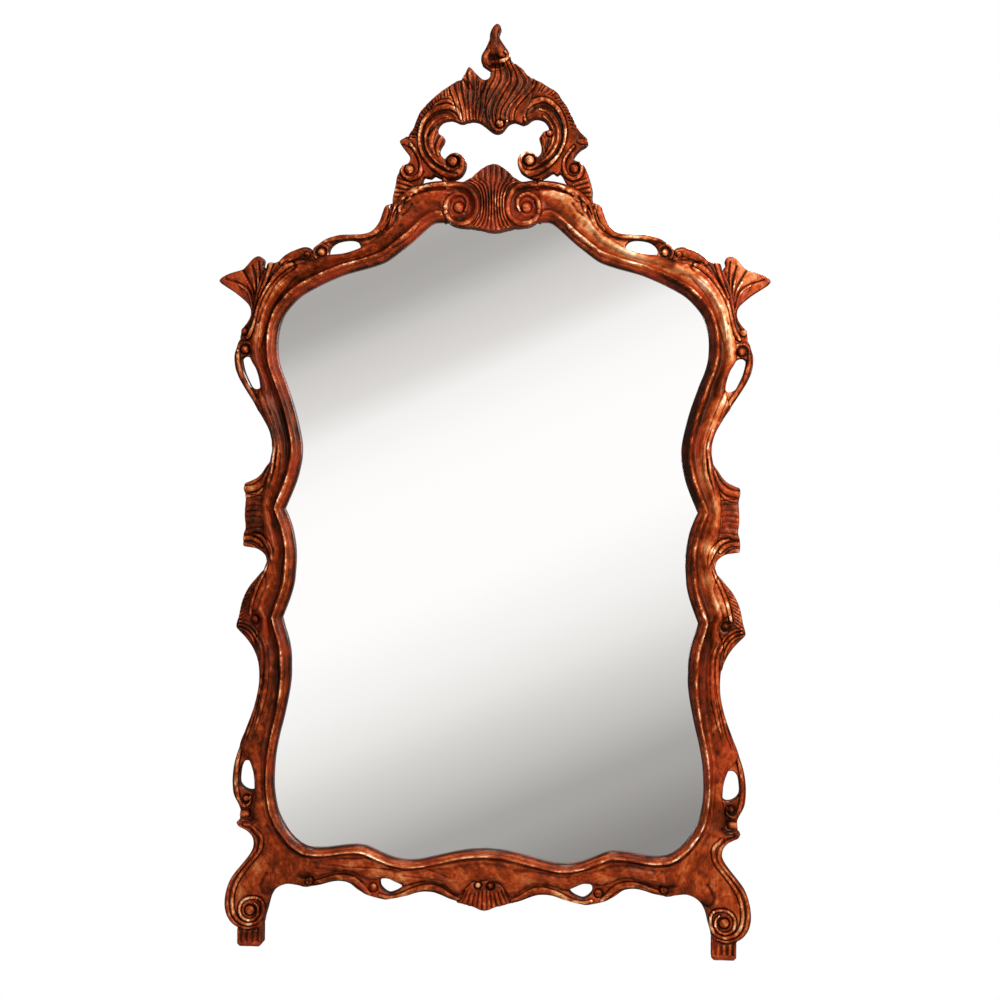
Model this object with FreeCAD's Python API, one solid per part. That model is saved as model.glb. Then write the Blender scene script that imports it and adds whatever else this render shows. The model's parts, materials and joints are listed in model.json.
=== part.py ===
import FreeCAD, Part
import math
import os

os.makedirs("parts", exist_ok=True)
V = FreeCAD.Vector

# Carved wall mirror in the Louis XV manner, in millimetres.
# +Z is up and the face looks along -Y. The wall is the plane Y = 0, and the
# origin lies on it, midway between the two rings that the mirror hangs by.

# Overall size and where the rings hang
overall_height = 1500.0
wall_gap = 8.0                 # from the wall to the back of the frame

# Reading places off the picture. Names ending in px are picture places, x to
# the right and y down. The picture leans a little and is taken a little from
# the right, and straighten() undoes both.
centre_px = (488.9, 492.9)
lean_share = 0.00873
turn_share = 0.0106            # how much larger things look at turn_reach_px
turn_reach_px = 250.0
turn_width_share = 1.006       # width of the object over what its turned picture shows
top_px = (496.2, 24.0)
base_px = (251.5, 944.2)
ring_px = (280.0, 420.0)

# Section of the rails, measured from the edge of the glass outwards
rebate_width = 8.5
glass_thickness = 4.0
block_thickness = 3.0
board_thickness = 6.0
rebate_depth = glass_thickness + block_thickness + board_thickness
glass_clearance = 1.5
board_clearance = 1.0
lip_thickness = 7.0            # wood in front of the glass at its edge
bead_shoulder = 6.0            # from the glass edge to the bead's flank
bead_shoulder_height = 31.0
bead_setback = 14.0
bead_height = 34.0
bead_drop_setback = 17.5
bead_drop_height = 32.0
hollow_setback = 21.0
hollow_height = 23.5
swell_share = 0.48             # these lie between the hollow and the edge
groove_share = 0.74
edge_bead_share = 0.9
swell_height = 32.0
groove_height = 25.0
edge_bead_height = 28.0
edge_height = 22.0

# Thickness of the applied carving, from the back of the frame forwards
fan_thickness = 20.0
leaf_thickness = 24.0
scroll_thickness = 21.0
tablet_thickness = 20.0
foot_thickness = 27.0
pad_thickness = 34.0
shell_thickness = 28.0
keystone_thickness = 32.0
volute_thickness = 28.0
crest_thickness = 22.0
crest_centre_thickness = 24.0
finial_thickness = 24.0
relief_room = 20.0             # the tallest that any relief stands over these
relief_root = 1.0              # how deep relief runs into the wood under it
bead_rise = 6.0
rib_rise = 4.0
knob_rise = 6.0
crest_bead_rise = 10.0
foot_ring_rise = 7.0
relief_crown_share = 0.45      # width of a bead's flat top over its foot
rib_root_share = 0.7            # width of a rib where it starts over where it ends
knob_dome_share = 0.6          # height of a knob's dome over the whole knob

# How finely the outlines and the rails are drawn
outline_steps = 2
station_steps = 2
ridge_steps = 2
least_way_share = 0.6          # keeps a rail's setback sound where it turns sharply

# Bench work behind: keys across the joints, battens, buttons and hangers
key_length = 36.0
key_width = 14.0
key_thickness = 5.0
key_depth = 14.0               # from the back of the frame to the key
brace_width = 18.0
brace_thickness = 5.0
batten_width = 18.0
screw_shank_radius = 1.6
screw_shank_length = 14.0
screw_head_radius = 3.4
screw_head_height = 1.6
bumper_radius = 11.0
button_length = 34.0
button_width = 13.0
button_thickness = 2.5
button_pivot_offset = 11.0     # from the rebate's edge to the button's screw
button_tail = 9.0
button_underside_gap = 0.25
button_bore_gap = 0.08
button_screw_radius = 2.0
button_screw_length = 15.0
button_head_radius = 4.0
button_head_height = 1.8
button_head_gap = 0.1

strap_width = 16.0
strap_length = 56.0
strap_thickness = 1.2
knuckle_wall = 1.5
ring_wire_radius = 1.75
ring_bore_gap = 0.08
ring_radius = 16.0             # of the middle of the ring's wire
strap_screw_drops = (28.0, 46.0)

# Foot pads
pad_corner = 4.0
pad_flutes = 4
pad_flute_radius = 3.0
pad_flute_lift = 0.8

# Where the hidden pieces go, as picture places on the left half
block_width = 5.0
block_px = [
    (457, 226.7), (411, 241.6), (359.5, 269.8), (299.5, 296.5), (278.2, 360), (298.7, 426.6),
    (288.6, 520), (293.8, 582), (291.1, 664), (283.3, 719), (277.6, 808.5), (328, 847),
    (391.4, 856.4), (454, 851.4)]
button_px = [(372, 266.2), (285, 380.7), (291.1, 664), (420, 858.8)]
bumper_px = [(296, 280), (262, 868)]
brace_px = [(407, 226), (409, 168.6)]
brace_screw_px = [(407.3, 217), (407.6, 203), (408.2, 187), (408.8, 174.4)]
crown_batten_px = [(431, 202.6), (552, 202.6)]
crown_screw_px = [(437, 202.6), (459, 202.6), (491.5, 202.6), (524, 202.6), (546, 202.6)]
crest_batten_px = [(436, 105), (549, 105)]
crest_screw_px = [(442, 105), (455, 105), (482, 105), (503, 105), (533, 105), (543, 105)]


def straighten(x_px, y_px):
    """Take the picture's lean and turn out of a place, still in pixels."""
    across = x_px - centre_px[0]
    up = centre_px[1] - y_px
    level = across - lean_share * up
    plumb = up + lean_share * across
    near = 1 + turn_share * level / turn_reach_px
    return level * turn_width_share / near, plumb / near


px_height = straighten(*top_px)[1] - straighten(*base_px)[1]
mm_per_px = overall_height / px_height
ring_level_px = straighten(*ring_px)[1]


def place(x_px, y_px):
    """The picture place as x and z in millimetres."""
    x, z = straighten(x_px, y_px)
    return x * mm_per_px, (z - ring_level_px) * mm_per_px


def depth(thickness):
    """The y of a face that stands this far in front of the frame's back."""
    return -wall_gap - thickness


def smooth(points, steps, closed=False):
    """Catmull-Rom curve through the points, each a tuple of numbers."""
    count = len(points)
    spans = count if closed else count - 1
    curve = []
    for i in range(spans):
        if closed:
            a, b, c, d = (points[(i + k) % count] for k in (-1, 0, 1, 2))
        else:
            a, b, c, d = (points[min(max(i + k, 0), count - 1)] for k in (-1, 0, 1, 2))
        for s in range(steps):
            t = s / steps
            curve.append(tuple(
                0.5 * (2 * q + (r - p) * t + (2 * p - 5 * q + 4 * r - w) * t * t
                       + (3 * q - p - 3 * r + w) * t ** 3)
                for p, q, r, w in zip(a, b, c, d)))
    if not closed:
        curve.append(tuple(points[-1]))
    return curve


def polygon(points, y):
    """A closed wire through x and z places, on the plane at y."""
    corners = [V(x, y, z) for x, z in points]
    return Part.makePolygon(corners + corners[:1])


def slab(points, back, front):
    """The polygon carried from y = back forwards to y = front."""
    return Part.Face(polygon(points, back)).extrude(V(0, front - back, 0))


def mirrored(shape):
    """The same piece on the other side of the middle."""
    return shape.mirror(V(0, 0, 0), V(1, 0, 0))


# The edge of the glass and the outer edge of each rail, left half, as pairs:
# sight x, sight y, edge x, edge y. A rail's last pair is the next one's first.
crown_sight_px = [
    (491.2, 231.2), (484, 228.8), (477, 228), (470, 227.5), (463, 227.3),
    (456, 226.5), (450, 225.3)]
top_rail_px = [
    (445, 222.5, 446, 181), (434, 222.5, 434, 181.6), (423.2, 230.4, 420, 184.6),
    (411, 241.6, 405, 191.8), (398.2, 251.8, 393.5, 204.5), (385.5, 261, 387.5, 226),
    (372, 266.2, 376, 237), (359.5, 269.8, 362, 247), (345, 273.8, 343.5, 253.4),
    (333, 278.6, 329, 255), (322, 283.6, 316, 259.5), (309, 290.4, 301, 263.5),
    (299.5, 296.5, 288.5, 269), (290.3, 305.7, 275, 281)]
stile_px = [
    (290.3, 305.7, 275, 281), (283.6, 315, 265.5, 294.5), (279.5, 326, 259.2, 309),
    (277.4, 338, 255.8, 325), (277.2, 350, 251.5, 341), (278.2, 360, 250.5, 357),
    (281.2, 371, 256, 368), (285, 380.7, 259.5, 379), (288.2, 390, 260.2, 389.5),
    (291.6, 400, 256, 404), (295, 411.3, 260.4, 413.2), (298.7, 426.6, 268, 427),
    (301.2, 440, 271.9, 439), (301.8, 450, 272.4, 450), (300.8, 461, 270.6, 460),
    (297, 477.4, 268.5, 472), (291.8, 491.4, 264, 488), (287.5, 501.5, 262.5, 499),
    (284.8, 508, 262, 508), (287.5, 514, 262.5, 517), (291.8, 526, 263.5, 528),
    (294.4, 538.6, 267, 540), (295.6, 549, 271, 551), (295.7, 560, 267.2, 561.5),
    (295, 571, 263.5, 571), (293.8, 582, 258.5, 581), (290.6, 594.5, 253, 593.5),
    (286.4, 606, 251.5, 606), (282.3, 616.5, 262, 617), (284.8, 626.3, 261.5, 627),
    (288.6, 639, 257, 639), (290.8, 652, 257.5, 652), (291.1, 664, 259.5, 664),
    (291, 676, 260, 677), (289.3, 690, 258.8, 690), (286.4, 705, 255.3, 704.5),
    (283.3, 719, 250.5, 718.5), (279.8, 732.5, 245.3, 732), (276.6, 748, 241, 746),
    (275, 760, 249.5, 758), (274.2, 772, 254.3, 771), (274, 784, 255.5, 783),
    (275, 795, 255, 792), (277.6, 808.5, 252.2, 804), (281.2, 817.5, 252.5, 814.5),
    (286, 826, 258, 824)]
corner_px = [
    (286, 826, 258, 824), (293.6, 836, 267, 850), (303.5, 844, 286, 870),
    (314, 847.2, 307, 876)]
bottom_rail_px = [
    (314, 847.2, 307, 876), (328, 847, 327, 873), (342, 845.2, 343, 869.5),
    (355.7, 844.2, 356, 871.5), (366.4, 845.6, 364, 876), (377, 850.2, 373, 878),
    (391.4, 856.4, 389, 877.6), (405.7, 859.3, 404, 884), (420, 858.8, 420, 880),
    (434.3, 855.7, 434, 879.2), (446, 853.2, 444, 882.5), (454, 851.4, 452, 889),
    (461, 850.2, 459, 894), (467.5, 849.2, 465.5, 888), (474, 848.6, 472, 881.5),
    (485.7, 848.2, 485.5, 879.2)]


def build_stations():
    """Stations round the glass: the full loop and where each rail begins.

    Each station is (sight place, edge place or None). The left half runs from
    the middle of the top down to the middle of the bottom, and the right half
    mirrors it back up.
    """
    rails = top_rail_px[:-1] + stile_px[:-1] + corner_px[:-1] + bottom_rail_px
    curve = smooth(rails, station_steps)
    crown = smooth([p + p for p in crown_sight_px] + [rails[0][:2] * 2], station_steps)[:-1]
    left = [(place(*p[:2]), None) for p in crown]
    left += [(place(*p[:2]), place(*p[2:])) for p in curve]
    left[0] = ((0.0, left[0][0][1]), None)
    (_, sight_z), (_, edge_z) = left[-1]
    left[-1] = ((0.0, sight_z), (0.0, edge_z))
    starts = [len(crown)]
    for rail in (top_rail_px, stile_px, corner_px, bottom_rail_px):
        starts.append(starts[-1] + (len(rail) - 1) * station_steps)
    right = [((-s[0], s[1]), e and (-e[0], e[1])) for s, e in left[-2:0:-1]]
    return left + right, starts


stations, rail_starts = build_stations()
middle_z = sum(s[0][1] for s in stations) / len(stations)


def station_directions():
    """For each station, the way outwards and how far 1 mm of setback reaches."""
    found = []
    count = len(stations)
    for i, (sight, edge) in enumerate(stations):
        before, after = stations[i - 1][0], stations[(i + 1) % count][0]
        normals = []
        for p, q in ((before, sight), (sight, after)):
            run = V(q[0] - p[0], 0, q[1] - p[1]).normalize()
            normals.append(V(-run.z, 0, run.x))
        mean = (normals[0] + normals[1]) * 0.5
        if mean.dot(V(sight[0], 0, sight[1] - middle_z)) < 0:
            mean = mean * -1
        if edge is None:
            way = V(mean).normalize()
        else:
            way = V(edge[0] - sight[0], 0, edge[1] - sight[1]).normalize()
        found.append((way, 1 / max(way.dot(mean), least_way_share)))
    return found


directions = station_directions()


def reach(i, setback):
    """The place that lies this far outside the glass edge at a station."""
    sight, (way, stretch) = stations[i][0], directions[i]
    return sight[0] + way.x * setback * stretch, sight[1] + way.z * setback * stretch


def rail_width(i):
    """From the glass edge to the rail's outer edge, square to the glass edge."""
    (sx, sz), (ex, ez) = stations[i]
    return math.hypot(ex - sx, ez - sz) / directions[i][1]


def rail_section(i):
    """The rail's section at a station, as a closed wire."""
    width = rail_width(i)
    spread = width - hollow_setback
    outline = [
        (0, rebate_depth), (0, rebate_depth + lip_thickness),
        (bead_shoulder, bead_shoulder_height), (bead_setback, bead_height),
        (bead_drop_setback, bead_drop_height), (hollow_setback, hollow_height),
        (hollow_setback + swell_share * spread, swell_height),
        (hollow_setback + groove_share * spread, groove_height),
        (hollow_setback + edge_bead_share * spread, edge_bead_height),
        (width, edge_height), (width, 0), (rebate_width, 0), (rebate_width, rebate_depth)]
    corners = []
    for setback, height in outline:
        x, z = reach(i, setback)
        corners.append(V(x, depth(height), z))
    return Part.makePolygon(corners + corners[:1])


def rail(first, last):
    """The carved rail between two stations."""
    return Part.makeLoft([rail_section(i) for i in range(first, last + 1)], True, True)


def rail_plan(first, last):
    """The rail's plan, from the glass edge to its outer edge."""
    inner = [stations[i][0] for i in range(first, last + 1)]
    outer = [reach(i, rail_width(i)) for i in range(last, first - 1, -1)]
    return inner + outer


top_start, stile_start, corner_start, bottom_start, bottom_middle = rail_starts
block_front = keystone_thickness + relief_room


def tall(points):
    """A block over the plan, from the frame's back to above any relief."""
    return slab(points, depth(0), depth(block_front))


def loop_at(setback):
    """The closed line this far outside the glass edge."""
    return [reach(i, setback) for i in range(len(stations))]


def strip(sections):
    """A closed solid through four-cornered sections, all of its faces flat."""
    faces = [Part.Face(Part.makePolygon(end + end[:1])) for end in (sections[0], sections[-1])]
    for a, b in zip(sections, sections[1:]):
        for p, q, r, s in ((a[1], a[2], b[2], b[1]), (a[3], a[0], b[0], b[3])):
            faces.append(Part.Face(Part.makePolygon([p, q, r, s, p])))
        for p, q, r, s in ((a[0], a[1], b[1], b[0]), (a[2], a[3], b[3], b[2])):
            faces.append(Part.Face(Part.makePolygon([p, q, r, p])))
            faces.append(Part.Face(Part.makePolygon([p, r, s, p])))
    solid = Part.Solid(Part.Shell(faces))
    if solid.Volume < 0:
        solid.reverse()
    return solid


def ridge(path_px, foot_front, rise):
    """A bead along a path of (x, y, half width) picture places."""
    path = []
    for x_px, y_px, half_px in smooth(path_px, ridge_steps):
        x, z = place(x_px, y_px)
        path.append((x, z, half_px * mm_per_px))
    sections = []
    for i, (x, z, half) in enumerate(path):
        before, after = path[max(i - 1, 0)], path[min(i + 1, len(path) - 1)]
        run = V(after[0] - before[0], 0, after[1] - before[1]).normalize()
        side = V(-run.z, 0, run.x)
        foot, top = depth(foot_front - relief_root), depth(foot_front + rise)
        crown = half * relief_crown_share
        sections.append([V(x, foot, z) - side * half, V(x, top, z) - side * crown,
                         V(x, top, z) + side * crown, V(x, foot, z) + side * half])
    return strip(sections)


def ribs(inner_px, outer_px, count, half_px, foot_front, rise):
    """Straight ribs between two guide lines, evenly shared along both."""
    made = []
    for k in range(count):
        share = (k + 0.5) / count
        a, b = along(inner_px, share), along(outer_px, share)
        made.append(ridge([a + (half_px * rib_root_share,), b + (half_px,)], foot_front, rise))
    return made


def along(guide_px, share):
    """The place at a share of a guide line's length."""
    lengths = [math.dist(p, q) for p, q in zip(guide_px, guide_px[1:])]
    left = share * sum(lengths)
    for (p, q), length in zip(zip(guide_px, guide_px[1:]), lengths):
        if left <= length:
            t = left / length
            return p[0] + (q[0] - p[0]) * t, p[1] + (q[1] - p[1]) * t
        left -= length
    return guide_px[-1]


def knob(x_px, y_px, radius_px, foot_front, rise):
    """A round knob: a low drum with a domed top."""
    x, z = place(x_px, y_px)
    radius = radius_px * mm_per_px
    dome = rise * knob_dome_share
    ball = (radius * radius + dome * dome) / (2 * dome)
    foot, top = depth(foot_front - relief_root), depth(foot_front + rise)
    drum = Part.makeCylinder(radius, foot - top, V(x, foot, z), V(0, -1, 0))
    return drum.common(Part.makeSphere(ball, V(x, top + ball, z)))


def carving(outline_px, thickness, neighbours, beads=(), combs=(), knobs=(), holes=(),
            bead=bead_rise, rib=rib_rise):
    """A carved piece: its slab with beads, ribs and knobs, cut to its neighbours."""
    block = tall([place(*p) for p in smooth(outline_px, outline_steps, closed=True)])
    for hole in holes:
        block = block.cut(tall([place(*p) for p in smooth(hole, outline_steps, closed=True)]))
    if neighbours:
        block = block.cut(Part.makeCompound(neighbours))
    block = largest(block)
    size = block.BoundBox
    reach_x, reach_z = size.XLength + relief_room, size.ZLength + relief_room
    base = Part.makeBox(reach_x, thickness, reach_z,
                        V(size.XMin - relief_room / 2, depth(thickness), size.ZMin - relief_room / 2))
    body = block.common(base)
    relief = [ridge(path, thickness, bead) for path in beads]
    for inner, outer, count, half in combs:
        relief += ribs(inner, outer, count, half, thickness, rib)
    relief += [knob(x, y, r, thickness, knob_rise) for x, y, r in knobs]
    if relief:
        joined = relief[0].multiFuse(relief[1:]) if len(relief) > 1 else relief[0]
        body = body.fuse(joined.common(block))
    return largest(body), block


def largest(shape):
    """The largest solid of a cut shape, without the slivers."""
    return max(shape.Solids, key=lambda s: s.Volume)


def export(name, shape):
    """Write the piece to its file and print what it measures."""
    shape.exportStep("parts/" + name + ".step")
    box = shape.BoundBox
    print("%-24s solids %d valid %s volume %.0f  x %.1f..%.1f y %.1f..%.1f z %.1f..%.1f" % (
        name, len(shape.Solids), shape.isValid(), shape.Volume,
        box.XMin, box.XMax, box.YMin, box.YMax, box.ZMin, box.ZMax))


# Rails
top_rail = rail(top_start, stile_start)
stile = rail(stile_start, corner_start)
corner = rail(corner_start, bottom_start)
bottom_end = 2 * bottom_middle - bottom_start
bottom_rail = rail(bottom_start, bottom_end)
rail_blocks = [tall(rail_plan(a, b)) for a, b in (
    (top_start, stile_start), (stile_start, corner_start), (corner_start, bottom_start),
    (bottom_start, bottom_end))]
rebate = slab(loop_at(rebate_width), depth(0), depth(rebate_depth))


# Keys across the joints between the rails
def key_at(i):
    """A loose tongue centred on the joint at a station, along the rail."""
    way = directions[i][0]
    along_rail = V(-way.z, 0, way.x)
    middle = (rebate_width + rail_width(i)) / 2
    x, z = reach(i, middle)
    half, side = along_rail * (key_length / 2), way * (key_width / 2)
    centre = V(x, 0, z)
    corners = [centre - half - side, centre + half - side, centre + half + side, centre - half + side]
    return slab([(c.x, c.z) for c in corners], depth(key_depth), depth(key_depth + key_thickness))


# Left half of the frame, and the crown pieces in the middle
pieces = {}

rail_scroll_px = [
    (392.4, 203.6), (389.3, 204), (384.8, 205.8), (382.6, 209.4), (380.8, 215.2), (378.6, 221.4),
    (375, 226.8), (369.6, 231.7), (360.7, 234), (350, 234.2), (340, 234.6), (333, 236.2),
    (326.8, 238.5), (320.5, 242.5), (315, 247), (312.3, 250), (313, 257), (317, 263), (330, 262),
    (345, 260), (362, 256), (374, 246), (386, 238), (396, 224), (399, 209)]
rail_scroll_hole_px = [
    (328.1, 251), (330.4, 246), (335.7, 242), (343, 240), (351, 239.6), (356.7, 241.5),
    (359.8, 246), (358.5, 250.6), (353.6, 253.4), (344.6, 254), (338.4, 254.6), (333, 255.2),
    (329, 254.2)]
rail_scroll_beads_px = [
    [(319, 247, 2), (327, 241, 2.2), (340, 237.2, 2), (355, 236.8, 2), (367, 235.3, 2.4),
     (378, 229.5, 3), (385.5, 219, 3), (389.5, 209, 2.4)]]
rail_scroll_knobs_px = [(321, 252.2, 4.6)]
pieces["rail_scroll"], rail_scroll_block = carving(
    rail_scroll_px, scroll_thickness, rail_blocks, holes=[rail_scroll_hole_px],
    beads=rail_scroll_beads_px, knobs=rail_scroll_knobs_px)

corner_leaf_px = [
    (312.3, 250), (308, 247.5), (302, 247.6), (291.8, 251.4), (284, 256), (279.6, 260.6),
    (275, 262.9), (269.6, 262.6), (267, 265), (265.6, 270.5), (262.8, 275), (259, 285), (256, 296),
    (254, 309), (252, 321), (248.5, 333), (246.5, 340), (262, 340), (265, 310), (278, 290),
    (295, 276), (305, 268), (318, 264), (317, 256)]
corner_leaf_beads_px = [
    [(306, 256, 3), (294, 259.5, 4), (282, 267, 3.2), (271.5, 278.5, 2.8), (263, 292, 2.4),
     (257.6, 307, 2), (255, 321, 1.8), (250.5, 334, 1.6)],
    [(272, 266, 1.8), (265, 277, 1.8), (259.5, 292, 1.6), (256.6, 306, 1.2)]]
corner_leaf_knobs_px = [(308, 253.7, 3)]
pieces["corner_leaf"], corner_leaf_block = carving(
    corner_leaf_px, leaf_thickness, rail_blocks + [rail_scroll_block], beads=corner_leaf_beads_px,
    knobs=corner_leaf_knobs_px)

corner_fan_px = [
    (266, 271), (262.6, 266), (263.5, 260.6), (261.2, 257.2), (257.4, 256), (252.8, 258.3),
    (247.5, 264.4), (241.3, 269.7), (230.6, 272.8), (223, 276.6), (219.1, 281), (224.5, 285.8),
    (235, 292.7), (244.4, 300.4), (249, 305.7), (250.8, 312), (249.7, 318), (246, 324),
    (241.3, 328.7), (240.6, 334), (240.8, 340), (251, 340), (258, 321), (260, 305), (263, 290)]
corner_fan_beads_px = [
    [(250.8, 317, 1.2), (248.6, 302, 2), (240, 291.5, 2.8), (226, 281.5, 2.6)],
    [(251.4, 314, 0.9), (250, 298, 1.6), (245.5, 284, 2.2), (240, 275, 2.4)],
    [(252, 312, 0.9), (252.3, 295, 1.5), (252, 278, 2.2), (252.8, 264, 2.6)],
    [(252.8, 309, 0.9), (255, 292, 1.4), (257.8, 277, 2), (259, 263, 2)]]
corner_fan_knobs_px = [(244.3, 331, 2.8)]
pieces["corner_fan"], corner_fan_block = carving(
    corner_fan_px, fan_thickness, rail_blocks + [corner_leaf_block], beads=corner_fan_beads_px,
    knobs=corner_fan_knobs_px)

side_scroll_px = [
    (241, 338), (236.2, 348.6), (234.4, 356), (235.2, 367), (239, 377.7), (246, 390),
    (253.6, 402), (259, 411), (268, 412), (266, 395), (262, 375), (258, 355), (254, 338)]
side_scroll_hole_px = [
    (241.3, 360), (242.5, 357.2), (245.2, 356), (249.7, 357.4), (254.6, 365), (258, 372.6),
    (261, 380), (261, 386.6), (256.6, 388.8), (251.3, 386.8), (247.5, 380), (243.6, 370.8)]
side_scroll_beads_px = [
    [(241.5, 343, 1.6), (238, 350, 1.7), (237.6, 358, 1.8), (239.4, 369, 1.8),
     (244.6, 380.5, 1.9), (250.6, 391.5, 1.9), (256, 400.5, 1.8)]]
side_scroll_knobs_px = [(245.5, 349.3, 4.4)]
pieces["side_scroll"], _ = carving(
    side_scroll_px, scroll_thickness, rail_blocks + [corner_leaf_block, corner_fan_block],
    holes=[side_scroll_hole_px], beads=side_scroll_beads_px, knobs=side_scroll_knobs_px)

side_tablet_px = [
    (269.2, 462), (262.5, 471.7), (256, 478), (246.4, 482.2), (244.2, 485), (244.6, 491.4),
    (245.5, 497), (244.9, 506.7), (244.6, 517), (245.5, 527), (243.8, 533), (243.4, 543.7),
    (246, 546.3), (254.8, 547.6), (261.2, 550.7), (265.7, 555.8), (268, 564), (276, 562),
    (276, 462)]
side_tablet_beads_px = [
    [(247, 487.5, 3.4), (254.5, 485, 3.4), (261.5, 479.5, 3.2), (266.5, 472, 2)],
    [(246.5, 539.8, 4), (254, 541, 4), (261.5, 544.5, 3.4), (266.5, 550.5, 2)]]
side_tablet_combs_px = [
    ([(262, 496.5), (262, 531)],
     [(246.2, 496.5), (246.2, 531)],
     6, 1.9)]
pieces["side_tablet"], _ = carving(
    side_tablet_px, tablet_thickness, rail_blocks, beads=side_tablet_beads_px,
    combs=side_tablet_combs_px)

side_leaf_px = [
    (265, 568), (256, 578), (249.7, 585.5), (244.6, 594.7), (241.5, 603.7), (238.9, 616),
    (236.4, 625.4), (239.5, 630.2), (246, 637.2), (252.3, 646), (256.8, 655.7), (258.6, 662),
    (264, 662), (270, 640), (270, 600), (272, 568)]
side_leaf_beads_px = [
    [(258.2, 579, 1.4), (253.5, 587, 1.8), (250, 597, 1.9), (248.2, 609, 1.9)],
    [(240, 626.4, 1.8), (249, 629.5, 1.8), (254.5, 637, 1.6), (257, 648, 1.2)]]
side_leaf_combs_px = [
    ([(255, 581), (249, 592), (246.4, 603), (245, 617)],
     [(251.5, 584.5), (246, 594.5), (242.8, 604.5), (240, 619)],
     8, 1.2)]
side_leaf_knobs_px = [(255.7, 619, 4.6)]
pieces["side_leaf"], _ = carving(
    side_leaf_px, tablet_thickness, rail_blocks, beads=side_leaf_beads_px, combs=side_leaf_combs_px,
    knobs=side_leaf_knobs_px)

low_scroll_px = [
    (243.5, 738), (240, 746), (235.2, 761.3), (233.2, 776.6), (233.7, 790.4), (236, 798),
    (240, 805.7), (241, 812), (240.6, 819.5), (250, 820.5), (258, 823), (262, 812), (262, 790),
    (258, 770), (256, 745), (252, 738)]
low_scroll_hole_px = [
    (241.3, 766), (244.4, 761), (248.2, 759.8), (252.8, 761.6), (254.6, 766), (254.6, 772.8),
    (255.8, 781.2), (254.8, 788), (250.5, 790), (244.4, 788), (240, 782.8), (239.8, 775)]
low_scroll_beads_px = [
    [(241.5, 746, 1.2), (238.2, 757, 1.8), (236.3, 769, 2), (236, 781, 2), (238, 792, 2),
     (242, 801, 1.8)]]
low_scroll_combs_px = [
    ([(249.5, 808.5), (249.5, 816.5)],
     [(241.6, 808.5), (241.6, 816.5)],
     1, 3.6)]
low_scroll_knobs_px = [(247.5, 797.5, 4.4)]
pieces["low_scroll"], low_scroll_block = carving(
    low_scroll_px, scroll_thickness, rail_blocks, holes=[low_scroll_hole_px],
    beads=low_scroll_beads_px, combs=low_scroll_combs_px, knobs=low_scroll_knobs_px)

foot_px = [
    (240.4, 818.5), (239.3, 824.5), (243, 827), (249, 830.2), (253.6, 835.6), (255, 842.5),
    (252.8, 850), (247.5, 857.8), (240.6, 866.2), (233, 876), (228.3, 886.8), (226.3, 897.6),
    (226.3, 906.7), (229, 916), (234.4, 922.8), (241, 926.8), (251, 928.8), (262, 926.8),
    (265, 917), (268, 906.7), (270.6, 897), (275, 889.8), (281.5, 884.8), (290, 882.7),
    (300, 884.2), (307, 885.6), (310, 878), (300, 858), (285, 840), (270, 820)]
foot_beads_px = [
    [(243, 823.5, 2.2), (252, 826, 2.6), (258.5, 833, 2.8), (259.5, 843, 2.8), (256.5, 853, 2.4),
     (247, 864, 2.2), (238, 875.5, 2.2), (232.4, 888, 2.4), (230.4, 900, 2.4), (233, 912, 2.4),
     (240.5, 920.3, 2.4), (251, 923.8, 2.4), (260.5, 920.5, 2.2), (264, 911, 2)],
    [(264, 905, 1.6), (260.8, 898.5, 1.8), (253, 896, 2), (245.5, 899, 2), (242.2, 907, 2),
     (244.5, 914.5, 1.8), (251, 918.2, 1.6)]]
foot_knobs_px = [(252.8, 908.3, 5.6)]
pieces["foot_slab"], foot_block = carving(
    foot_px, foot_thickness, rail_blocks + [low_scroll_block], beads=foot_beads_px,
    bead=foot_ring_rise, knobs=foot_knobs_px)

foot_pad_px = [(239.8, 920), (239.8, 944.2), (263.5, 944.2), (263.5, 920)]

bottom_scroll_px = [
    (306, 885.4), (311, 885.8), (322, 883.9), (331, 881.6), (340, 880.7), (349, 882.5),
    (357.5, 888.6), (366, 893.8), (375.4, 896.8), (386, 899), (396.8, 897.3), (407.5, 895),
    (418, 891.8), (427, 891), (436, 892.3), (446.8, 896.8), (457.5, 900.4), (463, 897),
    (466, 880), (440, 870), (400, 868), (350, 862), (320, 866), (304, 872)]
bottom_scroll_hole_px = [
    (380.2, 879.8), (382.5, 878), (386, 877.6), (393.2, 878.6), (399.5, 882), (402, 886),
    (398.6, 889.6), (389.6, 893), (383.4, 889.6), (380.2, 885.2)]
bottom_scroll_beads_px = [
    [(317, 880.5, 1.4), (330, 877.3, 2), (343, 875.2, 2.2), (353.5, 878, 2.2), (361.5, 885, 2),
     (369, 891.3, 1.5)],
    [(379, 892.5, 1.2), (388, 895.4, 1.6), (399, 892.6, 1.8), (411, 888.8, 2.2),
     (423, 885.5, 2.4), (435, 886.2, 2.4), (446, 892, 2), (454, 896.6, 1.4)]]
bottom_scroll_knobs_px = [(310.6, 880, 3.6), (373.8, 886, 4.2)]
pieces["bottom_scroll"], bottom_scroll_block = carving(
    bottom_scroll_px, scroll_thickness, rail_blocks + [foot_block], holes=[bottom_scroll_hole_px],
    beads=bottom_scroll_beads_px, knobs=bottom_scroll_knobs_px)

bottom_shell_px = [
    (456.5, 900.2), (462.5, 902), (469, 904), (475, 905.6), (480, 908.2), (484.8, 909),
    (489.8, 908), (495.2, 905.6), (502, 904.2), (508.4, 902.2), (513, 900.4), (512, 893),
    (505, 880), (494, 872), (475, 872), (464, 880), (457, 893)]
shell_rib_root_px = [(473, 890), (477, 888.2), (484.8, 887.4), (492.5, 888.2), (496.8, 890)]
shell_rib_tip_px = [(460, 899.6), (472, 902), (484.8, 905.6), (497.5, 902.2), (509.5, 899.6)]

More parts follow.
